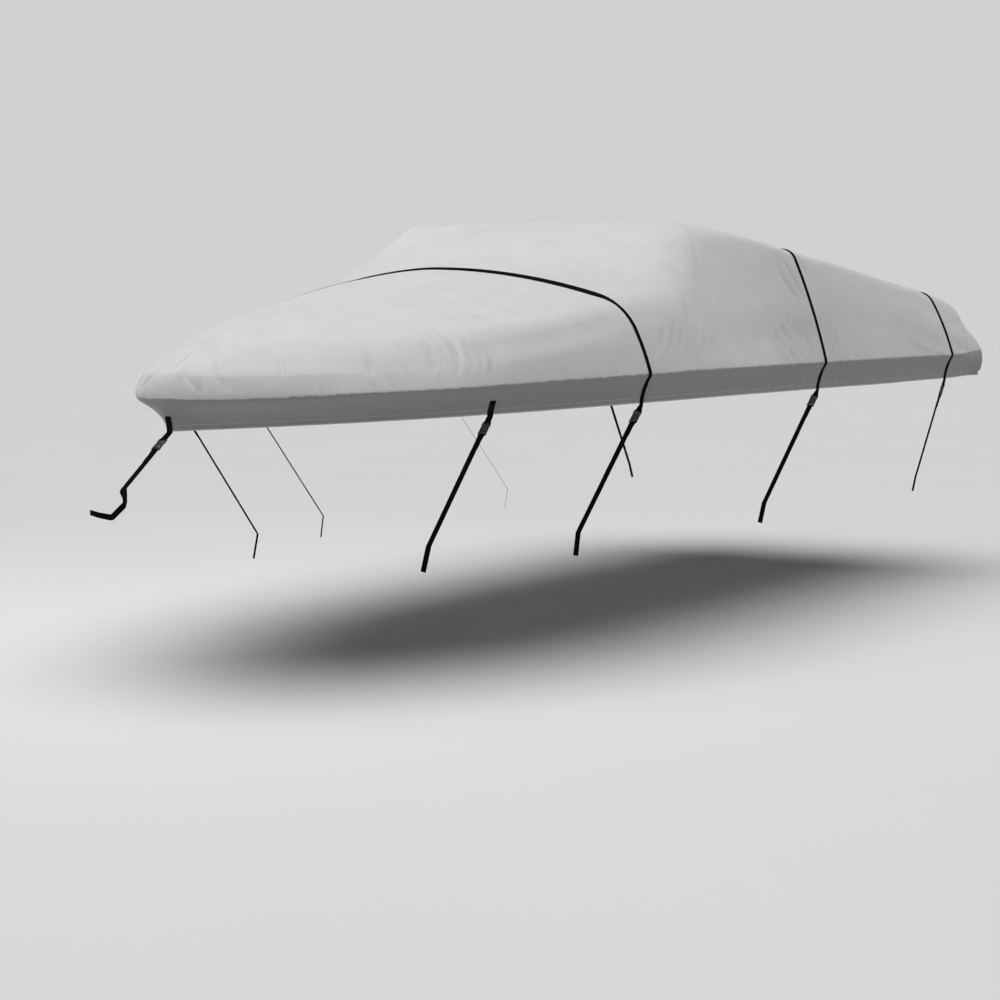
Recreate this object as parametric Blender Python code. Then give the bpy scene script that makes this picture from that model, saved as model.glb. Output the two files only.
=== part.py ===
"""A boat cover drawn tight over its load, with three straps across it, two side ties and a bow strap.

Metres, +Z up, +X towards the stern, port at -Y. The origin is the underside of the cloth at the
middle of the crest, the highest place of the cover. The cover is one sheet whose shape is lofted
from four lines: the spine along the middle, the shoulder where the top turns down, the rim at the
widest place, and the hem of the skirt that is tucked in under the rim. All lines are given for
the starboard side and mirrored.
"""

import math
from collections import namedtuple

import bmesh
import bpy
from mathutils import Matrix, Vector

# Driving sizes.
CLOTH = 0.002  # thickness of the cover's sheet
WEB_WIDTH = 0.026
WEB_THICKNESS = 0.0016
GAP = 0.0003  # between layers of webbing, and between webbing and a bar
SEAT_GAP = 0.0005  # between webbing and the cloth under it

# Where the straps cross the cover, as places along X, and where a side tie is sewn to the skirt.
FORE_STRAP = -0.91
MID_STRAP = 0.73
AFT_STRAP = 2.38
SIDE_TIE = -1.70
TIE_RIB = 0.016  # distance of the ribs beside a side tie, a little more than half a web

# Buckle, measured along the web (length), across it (width) and through it (depth).
BUCKLE_LENGTH = 0.062
BUCKLE_WIDTH = 0.037
BUCKLE_DEPTH = 0.0075
BAR_DEPTH = 0.0032  # the bars that the webs turn round
BAR_REACH = 0.0045  # length of a bar along the web
SLOT_REACH = 0.0068  # length of the slot beside a bar
SLOT_WIDTH = 0.0282
WINDOW_LENGTH = 0.020
WINDOW_WIDTH = 0.015
BUCKLE_TAPER = 0.0022  # how far the buckle's four corners are drawn in

# Webbing.
WRAP = BAR_DEPTH / 2 + GAP + WEB_THICKNESS / 2  # radius of a web's middle line round a bar
LAYER = WEB_THICKNESS + GAP  # from one layer's middle line to the next
HEM_OVERHANG = 0.004  # a web leaves the skirt this far past the hem
BAR_DROP = 0.032  # from there to the buckle's upper bar
BOW_BAR_DROP = 0.045
TAIL_ON_SKIRT = 0.085  # a strap's tail ends this far above the hem
TAB_ON_SKIRT = 0.052  # the same for the tabs of the side ties and the bow strap
TAB_STEP = 0.006  # a tab's inner layer ends this much higher than its outer one
TAIL_BELOW = 0.070  # length of a lower web's tail
TAIL_FLAT = 0.4  # from this share of its length on, a lower web's tail lies flat on the web
TAIL_AT_HEM = 1.2  # how far a strap's tail has risen from the web under it, in layers, at the hem
TAIL_AT_BEND = 1.5  # and where the web leaves the skirt
WRAP_STEPS = 4

Low = namedtuple("Low", "bend end turn")
# Where each lower web bends and where it ends, starboard, and by how many degrees it and its buckle
# are turned to face the bow.
FORE_LOW = Low(Vector((-0.800, 0.680, -1.355)), Vector((-0.820, 0.680, -1.452)), 25)
MID_LOW = Low(Vector((0.873, 0.740, -1.355)), Vector((0.839, 0.735, -1.449)), 30)
AFT_LOW = Low(Vector((2.423, 0.885, -1.330)), Vector((2.428, 0.868, -1.405)), 0)
TIE_LOW = Low(Vector((-1.580, 0.440, -1.355)), Vector((-1.614, 0.436, -1.457)), 0)
BEND_RUN = 0.012  # before and after a bend, the length in which the web turns from one way to the next

Turn = namedtuple("Turn", "x y z twist")
# The end of the bow strap: it turns on edge to port, and then comes round to the front.
BOW_END = (
    Turn(-2.893, 0.000, -1.037, 0),
    Turn(-2.905, 0.000, -1.046, 0),
    Turn(-2.916, -0.008, -1.057, 25),
    Turn(-2.927, -0.021, -1.070, 50),
    Turn(-2.937, -0.034, -1.084, 72),
    Turn(-2.950, -0.042, -1.100, 90),
    Turn(-3.014, -0.043, -1.137, 90),
    Turn(-3.022, -0.040, -1.139, 90),
    Turn(-3.042, -0.003, -1.131, 90),
    Turn(-3.052, 0.030, -1.122, 90),
)
ON_EDGE = Vector((-0.50, 0.0, 0.866))  # the way the web's width lies once it is on edge

Row = namedtuple("Row", "station x y z")
Side = namedtuple("Side", "station reach bulge round")
Lean = namedtuple("Lean", "station drop")

# A station equals x from -1.40 to 2.56. Beyond, it follows the rim round the bow and the stern.
SPINE = (
    Row(-3.05, -2.34, 0.0, -0.512),
    Row(-2.81, -2.24, 0.0, -0.488),
    Row(-2.63, -2.15, 0.0, -0.470),
    Row(-2.30, -1.98, 0.0, -0.435),
    Row(-1.89, -1.74, 0.0, -0.388),
    Row(-1.40, -1.40, 0.0, -0.318),
    Row(-0.91, -0.91, 0.0, -0.230),
    Row(-0.45, -0.45, 0.0, -0.112),
    Row(-0.10, -0.10, 0.0, -0.020),
    Row(0.02, 0.02, 0.0, 0.002),
    Row(0.16, 0.16, 0.0, -0.012),
    Row(0.73, 0.73, 0.0, -0.098),
    Row(1.60, 1.60, 0.0, -0.208),
    Row(2.38, 2.38, 0.0, -0.315),
    Row(2.56, 2.56, 0.0, -0.344),
    Row(2.70, 2.67, 0.0, -0.376),
    Row(2.88, 2.79, 0.0, -0.435),
)
SHOULDER = (
    Row(-3.05, -2.555, 0.0, -0.580),
    Row(-2.93, -2.535, 0.085, -0.580),
    Row(-2.81, -2.475, 0.165, -0.577),
    Row(-2.63, -2.360, 0.265, -0.567),
    Row(-2.30, -2.120, 0.450, -0.540),
    Row(-1.89, -1.800, 0.670, -0.515),
    Row(-1.40, -1.400, 0.865, -0.468),
    Row(-0.91, -0.910, 0.952, -0.380),
    Row(-0.55, -0.550, 0.962, -0.324),
    Row(-0.25, -0.250, 0.852, -0.176),
    Row(0.03, 0.030, 0.770, -0.033),
    Row(0.16, 0.160, 0.790, -0.037),
    Row(0.42, 0.420, 0.882, -0.080),
    Row(0.73, 0.730, 0.938, -0.132),
    Row(1.40, 1.400, 0.952, -0.214),
    Row(2.38, 2.380, 0.952, -0.333),
    Row(2.56, 2.560, 0.952, -0.358),
    Row(2.72, 2.715, 0.957, -0.385),
    Row(2.88, 2.815, 0.940, -0.480),
    Row(3.00, 2.850, 0.870, -0.484),
    Row(3.20, 2.866, 0.700, -0.482),
    Row(3.55, 2.872, 0.400, -0.475),
    Row(3.95, 2.875, 0.0, -0.470),
)
RIM = (
    Row(-3.05, -2.681, 0.0, -0.7270),
    Row(-2.93, -2.654, 0.123, -0.7285),
    Row(-2.81, -2.584, 0.220, -0.7285),
    Row(-2.63, -2.450, 0.343, -0.7230),
    Row(-2.30, -2.200, 0.545, -0.7120),
    Row(-1.89, -1.850, 0.770, -0.6980),
    Row(-1.40, -1.400, 0.960, -0.6790),
    Row(-0.90, -0.900, 1.090, -0.6660),
    Row(-0.30, -0.300, 1.120, -0.6595),
    Row(0.70, 0.700, 1.125, -0.6590),
    Row(1.70, 1.700, 1.115, -0.6600),
    Row(2.45, 2.450, 1.099, -0.6640),
    Row(2.78, 2.790, 1.088, -0.6660),
    Row(2.88, 2.900, 1.083, -0.6670),
    Row(2.97, 2.958, 1.030, -0.6680),
    Row(3.10, 2.980, 0.905, -0.6690),
    Row(3.55, 2.996, 0.450, -0.6700),
    Row(3.95, 2.999, 0.0, -0.6700),
)
HEM = (
    Row(-3.05, -2.645, 0.0, -0.8500),
    Row(-2.93, -2.575, 0.075, -0.8470),
    Row(-2.81, -2.492, 0.148, -0.8440),
    Row(-2.63, -2.372, 0.258, -0.8390),
    Row(-2.30, -2.145, 0.462, -0.8290),
    Row(-1.89, -1.825, 0.705, -0.8140),
    Row(-1.40, -1.400, 0.906, -0.8000),
    Row(-0.90, -0.900, 1.045, -0.7880),
    Row(-0.30, -0.300, 1.075, -0.7855),
    Row(0.70, 0.700, 1.080, -0.7865),
    Row(1.70, 1.700, 1.070, -0.7900),
    Row(2.45, 2.450, 1.055, -0.7900),
    Row(2.78, 2.775, 1.045, -0.7860),
    Row(2.88, 2.890, 1.056, -0.7850),
    Row(2.97, 2.940, 1.003, -0.7850),
    Row(3.10, 2.960, 0.890, -0.7850),
    Row(3.55, 2.975, 0.442, -0.7850),
    Row(3.95, 2.978, 0.0, -0.7850),
)
# How far the rounding of the shoulder reaches along the top and along the side, how far the side
# stands out from a straight line between shoulder and rim, and how far the rim's rounding reaches.
SIDE = (
    Side(-3.05, 0.105, 0.013, 0.016),
    Side(-2.30, 0.130, 0.013, 0.016),
    Side(-1.40, 0.120, 0.013, 0.016),
    Side(-0.91, 0.085, 0.013, 0.016),
    Side(-0.45, 0.060, 0.013, 0.016),
    Side(0.73, 0.050, 0.013, 0.016),
    Side(2.45, 0.060, 0.013, 0.016),
    Side(2.88, 0.075, 0.007, 0.045),
    Side(3.95, 0.075, 0.014, 0.045),
)
# How much lower the shoulder hangs to starboard than to port, and how full the top is on each side:
# its fall from the spine grows with this power of the way to the shoulder.
LEAN = (
    Lean(-3.05, 0.0),
    Lean(-2.30, 0.010),
    Lean(-1.40, 0.032),
    Lean(-0.91, 0.040),
    Lean(-0.45, 0.022),
    Lean(-0.10, -0.005),
    Lean(0.03, -0.017),
    Lean(0.40, -0.006),
    Lean(0.80, 0.0),
    Lean(3.95, 0.0),
)
STARBOARD, PORT = 1, -1
FULLNESS = {STARBOARD: 1.6, PORT: 2.0}
BOW = RIM[0].station
CORNER = 2.88  # the station of the stern corner
CORNER_START = 2.78  # from here to CORNER_END the ribs turn from the side to the stern
CORNER_END = 3.02
SIDE_FALL = 0.12  # slope of the top across the side's shoulder, and across the stern's
STERN_FALL = 0.42
SKIRT_HOLLOW = 0.18  # how far the skirt is drawn in at half height, as a share of its tuck
SLOPE_SPAN = 0.02  # the spine's slope is taken over this length either way
MERGE = 0.00005  # points of the two halves that lie this near are one

TOP_SHARES = (0.0, 0.24, 0.46, 0.66, 0.82, 0.93)  # places of the top's points between spine and shoulder
SHOULDER_STEPS = 3
SIDE_STEPS = 2
RIM_STEPS = 4
SKIRT_STEPS = 2

# Stations of the ribs between bow and stern, before the pairs under the webs are added.
BOW_RIBS = (-2.97, -2.89, -2.81, -2.72, -2.62, -2.50, -2.36, -2.20, -2.02, -1.84)
MIDDLE_RIBS = (-1.52, -1.38, -1.23, -1.08, -0.78, -0.64, -0.50, -0.36, -0.22, -0.11, -0.03, 0.04, 0.11,
               0.22, 0.36, 0.50, 0.62, 0.90, 1.12, 1.36, 1.60, 1.84, 2.08, 2.26, 2.50)
CORNER_RIBS = (2.60, 2.69, 2.78)
STERN_RIBS = (2.96, 3.05, 3.19, 3.40, 3.66, 3.95)  # one for each place in TOP_SHARES

Step = namedtuple("Step", "point width")  # a place on a web's middle line, and the way its width lies
Line = namedtuple("Line", "start along width out")  # the straight line of a buckle and its lower web

MATERIALS = {
    "cover cloth": ((0.560, 0.545, 0.530), 0.85),
    "webbing": ((0.012, 0.012, 0.014), 0.75),
    "buckle plastic": ((0.010, 0.010, 0.011), 0.40),
}


def smooth(rows, column, station, mirrored=0):
    """The column's value at a station, on a cubic through the rows that never overshoots.

    mirrored is 1 for a column that is the same on both sides of the middle line, such as x,
    and -1 for one that changes sign across it, such as y.
    """
    known = [(row.station, getattr(row, column)) for row in rows]
    if mirrored:
        before = (2 * known[0][0] - known[1][0], mirrored * known[1][1])
        after = (2 * known[-1][0] - known[-2][0], mirrored * known[-2][1])
        known = [before] + known + [after]
    here = min(max(station, rows[0].station), rows[-1].station)
    i = max(k for k in range(len(known) - 1) if known[k][0] <= here + 1e-9)
    rise = [(b[1] - a[1]) / (b[0] - a[0]) for a, b in zip(known, known[1:])]
    (s0, v0), (s1, v1) = known[i], known[i + 1]
    slope0 = knot_slope(rise, i)
    slope1 = knot_slope(rise, i + 1)
    width = s1 - s0
    t = (here - s0) / width
    return (
        v0 * (1 + 2 * t) * (1 - t) ** 2
        + v1 * t * t * (3 - 2 * t)
        + slope0 * width * t * (1 - t) ** 2
        - slope1 * width * t * t * (1 - t)
    )


def knot_slope(rise, knot):
    """The slope at a row: the harmonic mean of its neighbours' rises, or none at a turn."""
    if knot == 0:
        return rise[0]
    if knot == len(rise):
        return rise[-1]
    before, after = rise[knot - 1], rise[knot]
    return 0.0 if before * after <= 0 else 2 * before * after / (before + after)


def point_on(rows, station):
    """A point of one of the four lines, on the starboard side."""
    return Vector((
        smooth(rows, "x", station, 0 if rows is SPINE else 1),
        smooth(rows, "y", station, 0 if rows is SPINE else -1),
        smooth(rows, "z", station, 0 if rows is SPINE else 1),
    ))


def bowed(start, end, height, t):
    """A point between start and end, pushed out by height at the middle of the way."""
    chord = end - start
    flat = Vector((chord.x, chord.y, 0))
    away = (flat.normalized() * -chord.z + Vector((0, 0, flat.length))).normalized()
    return start + chord * t + away * (4 * height * t * (1 - t))


def arc(start, corner, end, t):
    """A point on the parabola that rounds a corner."""
    return start * (1 - t) ** 2 + corner * (2 * t * (1 - t)) + end * t * t


def shoulder_at(station, side):
    """The point where the top and the side would meet without the rounding between them."""
    drop = smooth(LEAN, "drop", station) if side == STARBOARD else 0
    return point_on(SHOULDER, station) - Vector((0, 0, drop))


def top_point(station, side, t):
    """A point of the top, from the spine at 0 to the shoulder at 1."""
    spine = point_on(SPINE, station)
    shoulder = shoulder_at(station, side)
    ahead, behind = point_on(SPINE, station - SLOPE_SPAN), point_on(SPINE, station + SLOPE_SPAN)
    slope = (behind.z - ahead.z) / (behind.x - ahead.x)
    start_rise = slope * (shoulder.x - spine.x)
    point = spine.lerp(shoulder, t)
    point.z = spine.z + start_rise * t + (shoulder.z - spine.z - start_rise) * t ** FULLNESS[side]
    return point


def top_edge(station, side):
    """Where the top ends and the rounding of the shoulder starts."""
    shoulder = shoulder_at(station, side)
    reach = smooth(SIDE, "reach", station)
    turned = min(max((station - CORNER_START) / (CORNER_END - CORNER_START), 0), 1)
    if turned == 0:
        run = (shoulder - point_on(SPINE, station)).length
        return top_point(station, side, 1 - reach / run)
    inward = Vector((-turned, turned - 1, 0)).normalized()
    inward.z = SIDE_FALL + (STERN_FALL - SIDE_FALL) * turned
    return shoulder + inward * reach


def outer_rib(station, side):
    """The points from the shoulder's inner edge over the rim to the hem."""
    shoulder = shoulder_at(station, side)
    rim = point_on(RIM, station)
    hem = point_on(HEM, station)
    bulge = smooth(SIDE, "bulge", station)
    rounding = smooth(SIDE, "round", station)
    length = (rim - shoulder).length
    first = smooth(SIDE, "reach", station) / length
    last = 1 - rounding / length
    shares = [first + (last - first) * k / SIDE_STEPS for k in range(SIDE_STEPS + 1)]
    flank = [bowed(shoulder, rim, bulge, share) for share in shares]
    start = top_edge(station, side)
    points = [arc(start, shoulder, flank[0], k / SHOULDER_STEPS) for k in range(SHOULDER_STEPS)]
    points += flank
    under_rim = rim + (hem - rim).normalized() * rounding
    points += [arc(flank[-1], rim, under_rim, k / RIM_STEPS) for k in range(1, RIM_STEPS + 1)]
    tuck = Vector((hem.x - rim.x, hem.y - rim.y, 0))
    for k in range(1, SKIRT_STEPS + 1):
        t = k / SKIRT_STEPS
        points.append(under_rim.lerp(hem, t) + tuck * (4 * SKIRT_HOLLOW * t * (1 - t)))
    return points


def section(station, side):
    """The whole rib from the spine to the hem, up to the corner of the stern."""
    run = (shoulder_at(station, side) - point_on(SPINE, station)).length
    share = 1 - smooth(SIDE, "reach", station) / run
    return [top_point(station, side, share * t) for t in TOP_SHARES] + outer_rib(station, side)


def ribs(side):
    """All whole ribs of a side, from the middle of the bow to the corner of the stern.

    Under a strap two ribs share one shape, so that the web lies flat. The bow has two as well.
    """
    half = WEB_WIDTH / 2
    bow = section(BOW, side)
    beside = [p + Vector((0, half * min(1, k / len(TOP_SHARES)), 0)) for k, p in enumerate(bow)]
    ahead = point_on(SPINE, BOW_RIBS[0]) - bow[0]
    for k, share in enumerate(TOP_SHARES):
        beside[k] += ahead * (1 - share) / 2
    placed = [(BOW, bow), (BOW + half, beside)]
    for strap in (FORE_STRAP, MID_STRAP, AFT_STRAP):
        shape = section(strap, side)
        for place in (strap - half, strap + half):
            placed.append((place, [Vector((place, p.y, p.z)) for p in shape]))
    tie_ribs = (SIDE_TIE - TIE_RIB, SIDE_TIE + TIE_RIB)
    for station in BOW_RIBS + tie_ribs + MIDDLE_RIBS + CORNER_RIBS:
        placed.append((station, section(station, side)))
    placed.sort(key=lambda pair: pair[0])
    return [points for _, points in placed]


def cover():
    """The whole sheet: the outer face of both sides, given its thickness inwards."""
    mesh = bmesh.new()
    for side in (STARBOARD, PORT):
        whole = ribs(side)
        stern = [outer_rib(station, side) for station in (CORNER,) + STERN_RIBS]
        last_top = [rib[0] for rib in reversed(stern)]
        whole.append(last_top[:-1] + stern[0])
        flip = Vector((1, side, 1))
        for grid in (whole, stern):
            add_grid(mesh, [[p * flip for p in rib] for rib in grid])
    bmesh.ops.remove_doubles(mesh, verts=mesh.verts, dist=MERGE)
    bmesh.ops.recalc_face_normals(mesh, faces=mesh.faces)
    if sum(face.normal.z * face.calc_area() for face in mesh.faces) < 0:
        bmesh.ops.reverse_faces(mesh, faces=mesh.faces)
    sheet = new_object("cover", mesh, "cover cloth")
    thickness = sheet.modifiers.new("thickness", "SOLIDIFY")
    thickness.thickness = CLOTH
    thickness.offset = -1
    thickness.use_even_offset = True
    return sheet


def add_grid(mesh, rows):
    """Quads between each row of points and the next. Points that meet are merged afterwards."""
    grid = [[mesh.verts.new(p) for p in row] for row in rows]
    for a, b in zip(grid, grid[1:]):
        for k in range(len(a) - 1):
            mesh.faces.new((a[k], a[k + 1], b[k + 1], b[k]))


def facing(steps):
    """The web's outward normal at each step, mitred so that the runs beside it keep their thickness."""
    runs = [(a.width + b.width).cross(b.point - a.point).normalized() for a, b in zip(steps, steps[1:])]
    joints = [(before + after) / (1 + before.dot(after)) for before, after in zip(runs, runs[1:])]
    return [runs[0]] + joints + [runs[-1]]


def lifted(steps, heights):
    """The steps moved outwards, each by its own height."""
    return [Step(s.point + n * h, s.width) for s, n, h in zip(steps, facing(steps), heights)]


def mirrored(steps):
    """The same steps on the other side."""
    return [Step(Vector((s.point.x, -s.point.y, s.point.z)), Vector((s.width.x, -s.width.y, s.width.z)))
            for s in steps]


def last_stretch(steps, length):
    """The end of a route, cut so that length is left."""
    kept = [steps[-1]]
    for step in reversed(steps[:-1]):
        here = kept[0]
        run = (step.point - here.point).length
        if run > length:
            share = length / run
            return [Step(here.point.lerp(step.point, share), here.width.lerp(step.width, share))] + kept
        kept.insert(0, step)
        length -= run
    return kept


def line_below(inner, low, turn=0):
    """The line that a web takes once it has left the skirt, towards its lower bend.

    turn is how many degrees the web is turned about that line, to face the bow.
    """
    hem = inner[-1]
    down = (hem.point - inner[-2].point).normalized()
    start = hem.point + down * HEM_OVERHANG
    along = (low - start).normalized()
    width = (hem.width - along * hem.width.dot(along)).normalized()
    width.rotate(Matrix.Rotation(-math.radians(turn), 3, along))
    return Line(start, along, width, width.cross(along))


def on_line(line, distance, height):
    """A step on the line, that far along it and that high above its inner layer."""
    return Step(line.start + line.along * distance + line.out * height, line.width)


def round_bar(line, distance, way):
    """A web's half turn about a bar, from its inner side outwards, past the bar's end that way."""
    steps = []
    for k in range(WRAP_STEPS + 1):
        angle = math.pi * k / WRAP_STEPS
        reach = way * (BAR_REACH / 2 + WRAP * math.sin(angle))
        steps.append(on_line(line, distance + reach, WRAP - WRAP * math.cos(angle)))
    return steps


def looped_end(inner, line, drop, tail):
    """What follows a web's inner layer: its turn about the buckle's upper bar, and its tail up the skirt."""
    bend = Step(line.start, inner[-1].width)
    at_bar = on_line(line, drop - BAR_REACH, 0)
    under = last_stretch(inner, tail)
    route = under + [bend, at_bar]
    heights = [LAYER] * (len(under) - 1) + [TAIL_AT_HEM * LAYER, TAIL_AT_BEND * LAYER, 2 * WRAP]
    back = lifted(route, heights)
    return [bend, at_bar] + round_bar(line, drop, 1) + back[::-1]


def strap_over(station):
    """The inner layer of a strap on the cover, from the port hem to the starboard hem."""
    across = Vector((1, 0, 0))
    port, starboard = [
        [Step(Vector((station, p.y, p.z)), across) for p in section(station, side)]
        for side in (PORT, STARBOARD)
    ]
    whole = mirrored(port[1:])[::-1] + starboard
    return lifted(whole, [SEAT_GAP + WEB_THICKNESS / 2] * len(whole))


def tie_on_skirt():
    """The inner layer of a side tie, down the starboard skirt."""
    pair = zip(outer_rib(SIDE_TIE - TIE_RIB, STARBOARD), outer_rib(SIDE_TIE + TIE_RIB, STARBOARD))
    middle = [Step((a + b) / 2, (b - a).normalized()) for a, b in pair]
    skirt = middle[-SKIRT_STEPS - 1:]
    return lifted(skirt, [SEAT_GAP + WEB_THICKNESS / 2] * len(skirt))


def bow_on_skirt():
    """The inner layer of the bow strap's tab, down the front of the skirt."""
    across = Vector((0, 1, 0))
    skirt = [Step(p, across) for p in outer_rib(BOW, STARBOARD)[-SKIRT_STEPS - 1:]]
    return lifted(skirt, [SEAT_GAP + WEB_THICKNESS / 2] * len(skirt))


def lower_start(line, drop, tail):
    """A lower web's tail and its turn about the buckle's lower bar."""
    bar = drop + BUCKLE_LENGTH - BAR_REACH
    over_bar = on_line(line, bar + BAR_REACH / 2, 2 * WRAP)
    outer = [on_line(line, bar + tail, LAYER), on_line(line, bar + tail * TAIL_FLAT, LAYER), over_bar]
    return outer + round_bar(line, bar, -1)[::-1]


def lower_web(line, drop, low):
    """A lower web from its tail, about the buckle's lower bar, and past its bend to its flat end."""
    end_way = (low.end - low.bend).normalized()
    end_width = (line.width - end_way * line.width.dot(end_way)).normalized()
    before = Step(low.bend - line.along * BEND_RUN, line.width)
    bend = Step(low.bend, (line.width + end_width).normalized())
    square = Step(low.bend + end_way * BEND_RUN, end_width)
    return lower_start(line, drop, TAIL_BELOW) + [before, bend, square, Step(low.end, end_width)]


def bow_web(line):
    """The bow strap's lower web, which turns on edge and comes round to the front at its end."""
    steps = lower_start(line, BOW_BAR_DROP, TAIL_BELOW)
    points = [Vector((turn.x, turn.y, turn.z)) for turn in BOW_END]
    for k, turn in enumerate(BOW_END):
        after = points[min(k + 1, len(points) - 1)]
        before = points[k - 1] if k else steps[-1].point
        along = (after - before).normalized()
        twist = math.radians(turn.twist)
        width = Vector((0, 1, 0)) * math.cos(twist) + ON_EDGE * math.sin(twist)
        steps.append(Step(points[k], (width - along * width.dot(along)).normalized()))
    return steps


def web(name, steps):
    """A length of webbing along its steps."""
    mesh = bmesh.new()
    rings = []
    for step, normal in zip(steps, facing(steps)):
        across = step.width * WEB_WIDTH / 2
        through = normal * WEB_THICKNESS / 2
        corners = (across + through, through - across, -across - through, across - through)
        rings.append([mesh.verts.new(step.point + corner) for corner in corners])
    for a, b in zip(rings, rings[1:]):
        for k in range(4):
            mesh.faces.new((a[k], a[k - 1], b[k - 1], b[k]))
    mesh.faces.new(rings[0])
    mesh.faces.new(rings[-1][::-1])
    bmesh.ops.recalc_face_normals(mesh, faces=mesh.faces)
    return new_object(name, mesh, "webbing")


def buckle_mesh():
    """A flat buckle with a slot and a thin bar at each end, and a window in the middle.

    It lies along X, its width along Y, and its middle is at the origin.
    """
    half = BUCKLE_LENGTH / 2
    slot_end = half - BAR_REACH - SLOT_REACH
    lengths = (-half, BAR_REACH - half, -slot_end, -WINDOW_LENGTH / 2)
    widths = (-BUCKLE_WIDTH / 2, -SLOT_WIDTH / 2, -WINDOW_WIDTH / 2)
    depths = (-BUCKLE_DEPTH / 2, -BAR_DEPTH / 2)
    edges = [axis + tuple(-value for value in reversed(axis)) for axis in (lengths, widths, depths)]
    cells = [range(len(axis) - 1) for axis in edges]

    def filled(i, j, k):
        """Whether the buckle has material in this cell of the grid."""
        if i not in cells[0] or j not in cells[1] or k not in cells[2]:
            return False
        rail = j in (0, 4)
        bar = i in (0, 6) and k == 1
        body = i in (2, 4) or (i == 3 and j != 2)
        return rail or bar or body

    mesh = bmesh.new()
    corner = {}
    for cell in ((i, j, k) for i in cells[0] for j in cells[1] for k in cells[2]):
        for axis in range(3):
            for way in (0, 1):
                other = list(cell)
                other[axis] += 2 * way - 1
                if filled(*cell) and not filled(*other):
                    add_cell_face(mesh, corner, edges, cell, axis, way)
    bmesh.ops.recalc_face_normals(mesh, faces=mesh.faces)
    flat = math.radians(0.2)
    bmesh.ops.dissolve_limit(mesh, angle_limit=flat, verts=mesh.verts, edges=mesh.edges)
    data = bpy.data.meshes.new("buckle")
    mesh.to_mesh(data)
    mesh.free()
    return data


def add_cell_face(mesh, corner, edges, cell, axis, way):
    """One face of a grid cell, on the given side of it."""
    u, v = [k for k in range(3) if k != axis]
    loop = []
    for du, dv in ((0, 0), (1, 0), (1, 1), (0, 1)):
        place = list(cell)
        place[axis] += way
        place[u] += du
        place[v] += dv
        key = tuple(place)
        if key not in corner:
            corner[key] = mesh.verts.new(tapered([edges[k][place[k]] for k in range(3)]))
        loop.append(corner[key])
    mesh.faces.new(loop)


def tapered(place):
    """A point of the buckle, drawn in at its four outer corners."""
    x, y, z = place
    if abs(x) > BUCKLE_LENGTH / 2 - 1e-6 and abs(y) > BUCKLE_WIDTH / 2 - 1e-6:
        y -= math.copysign(BUCKLE_TAPER, y)
    return Vector((x, y, z))


def buckle(name, mesh, line, drop, side):
    """A buckle on its line, with its upper bar at that drop. side is 1 to starboard and -1 to port."""
    middle = on_line(line, drop - BAR_REACH / 2 + BUCKLE_LENGTH / 2, WRAP).point
    flip = Vector((1, side, 1))
    along, out = line.along * flip, line.out * flip
    body = bpy.data.objects.new(name, mesh)
    body.location = middle * flip
    body.rotation_mode = "QUATERNION"
    body.rotation_quaternion = Matrix((along, out.cross(along), out)).transposed().to_quaternion()
    bpy.context.collection.objects.link(body)
    return body


def new_object(name, mesh, material):
    """An object from a finished bmesh."""
    data = bpy.data.meshes.new(name)
    mesh.to_mesh(data)
    mesh.free()
    data.materials.append(bpy.data.materials[material])
    made = bpy.data.objects.new(name, data)
    bpy.context.collection.objects.link(made)
    return made


def make_materials():
    """One Principled material for each kind of stuff."""
    for name, (colour, roughness) in MATERIALS.items():
        material = bpy.data.materials.new(name)
        material.use_nodes = True
        shader = material.node_tree.nodes["Principled BSDF"]
        shader.inputs["Base Color"].default_value = (*colour, 1)
        shader.inputs["Roughness"].default_value = roughness
        shader.inputs["Metallic"].default_value = 0


def make_straps(buckle_data):
    """The three straps across the cover: each has a web over the top, two buckles and two lower webs."""
    straps = (("fore", FORE_STRAP, FORE_LOW), ("mid", MID_STRAP, MID_LOW), ("aft", AFT_STRAP, AFT_LOW))
    for name, station, low in straps:
        over = strap_over(station)
        line = line_below(over, low.bend, low.turn)
        end = looped_end(over, line, BAR_DROP, TAIL_ON_SKIRT)
        web(f"strap_{name}", mirrored(end)[::-1] + over + end)
        lower = lower_web(line, BAR_DROP, low)
        web(f"lower_web_{name}_starboard", lower)
        web(f"lower_web_{name}_port", mirrored(lower))
        buckle(f"buckle_{name}_starboard", buckle_data, line, BAR_DROP, 1)
        buckle(f"buckle_{name}_port", buckle_data, line, BAR_DROP, -1)


def make_side_ties(buckle_data):
    """The two side ties: a tab sewn to the skirt, a buckle and a lower web each."""
    inner = last_stretch(tie_on_skirt(), TAB_ON_SKIRT + TAB_STEP)
    line = line_below(inner, TIE_LOW.bend)
    tab = inner + looped_end(inner, line, BAR_DROP, TAB_ON_SKIRT)
    lower = lower_web(line, BAR_DROP, TIE_LOW)
    web("tie_tab_starboard", tab)
    web("tie_tab_port", mirrored(tab))
    web("tie_web_starboard", lower)
    web("tie_web_port", mirrored(lower))
    buckle("buckle_tie_starboard", buckle_data, line, BAR_DROP, 1)
    buckle("buckle_tie_port", buckle_data, line, BAR_DROP, -1)


def make_bow_strap(buckle_data):
    """The bow strap: its tab on the front of the skirt, a buckle and its lower web."""
    inner = last_stretch(bow_on_skirt(), TAB_ON_SKIRT + TAB_STEP)
    first = BOW_END[0]
    line = line_below(inner, Vector((first.x, first.y, first.z)))
    web("bow_tab", inner + looped_end(inner, line, BOW_BAR_DROP, TAB_ON_SKIRT))
    web("bow_web", bow_web(line))
    buckle("buckle_bow", buckle_data, line, BOW_BAR_DROP, 1)


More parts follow.
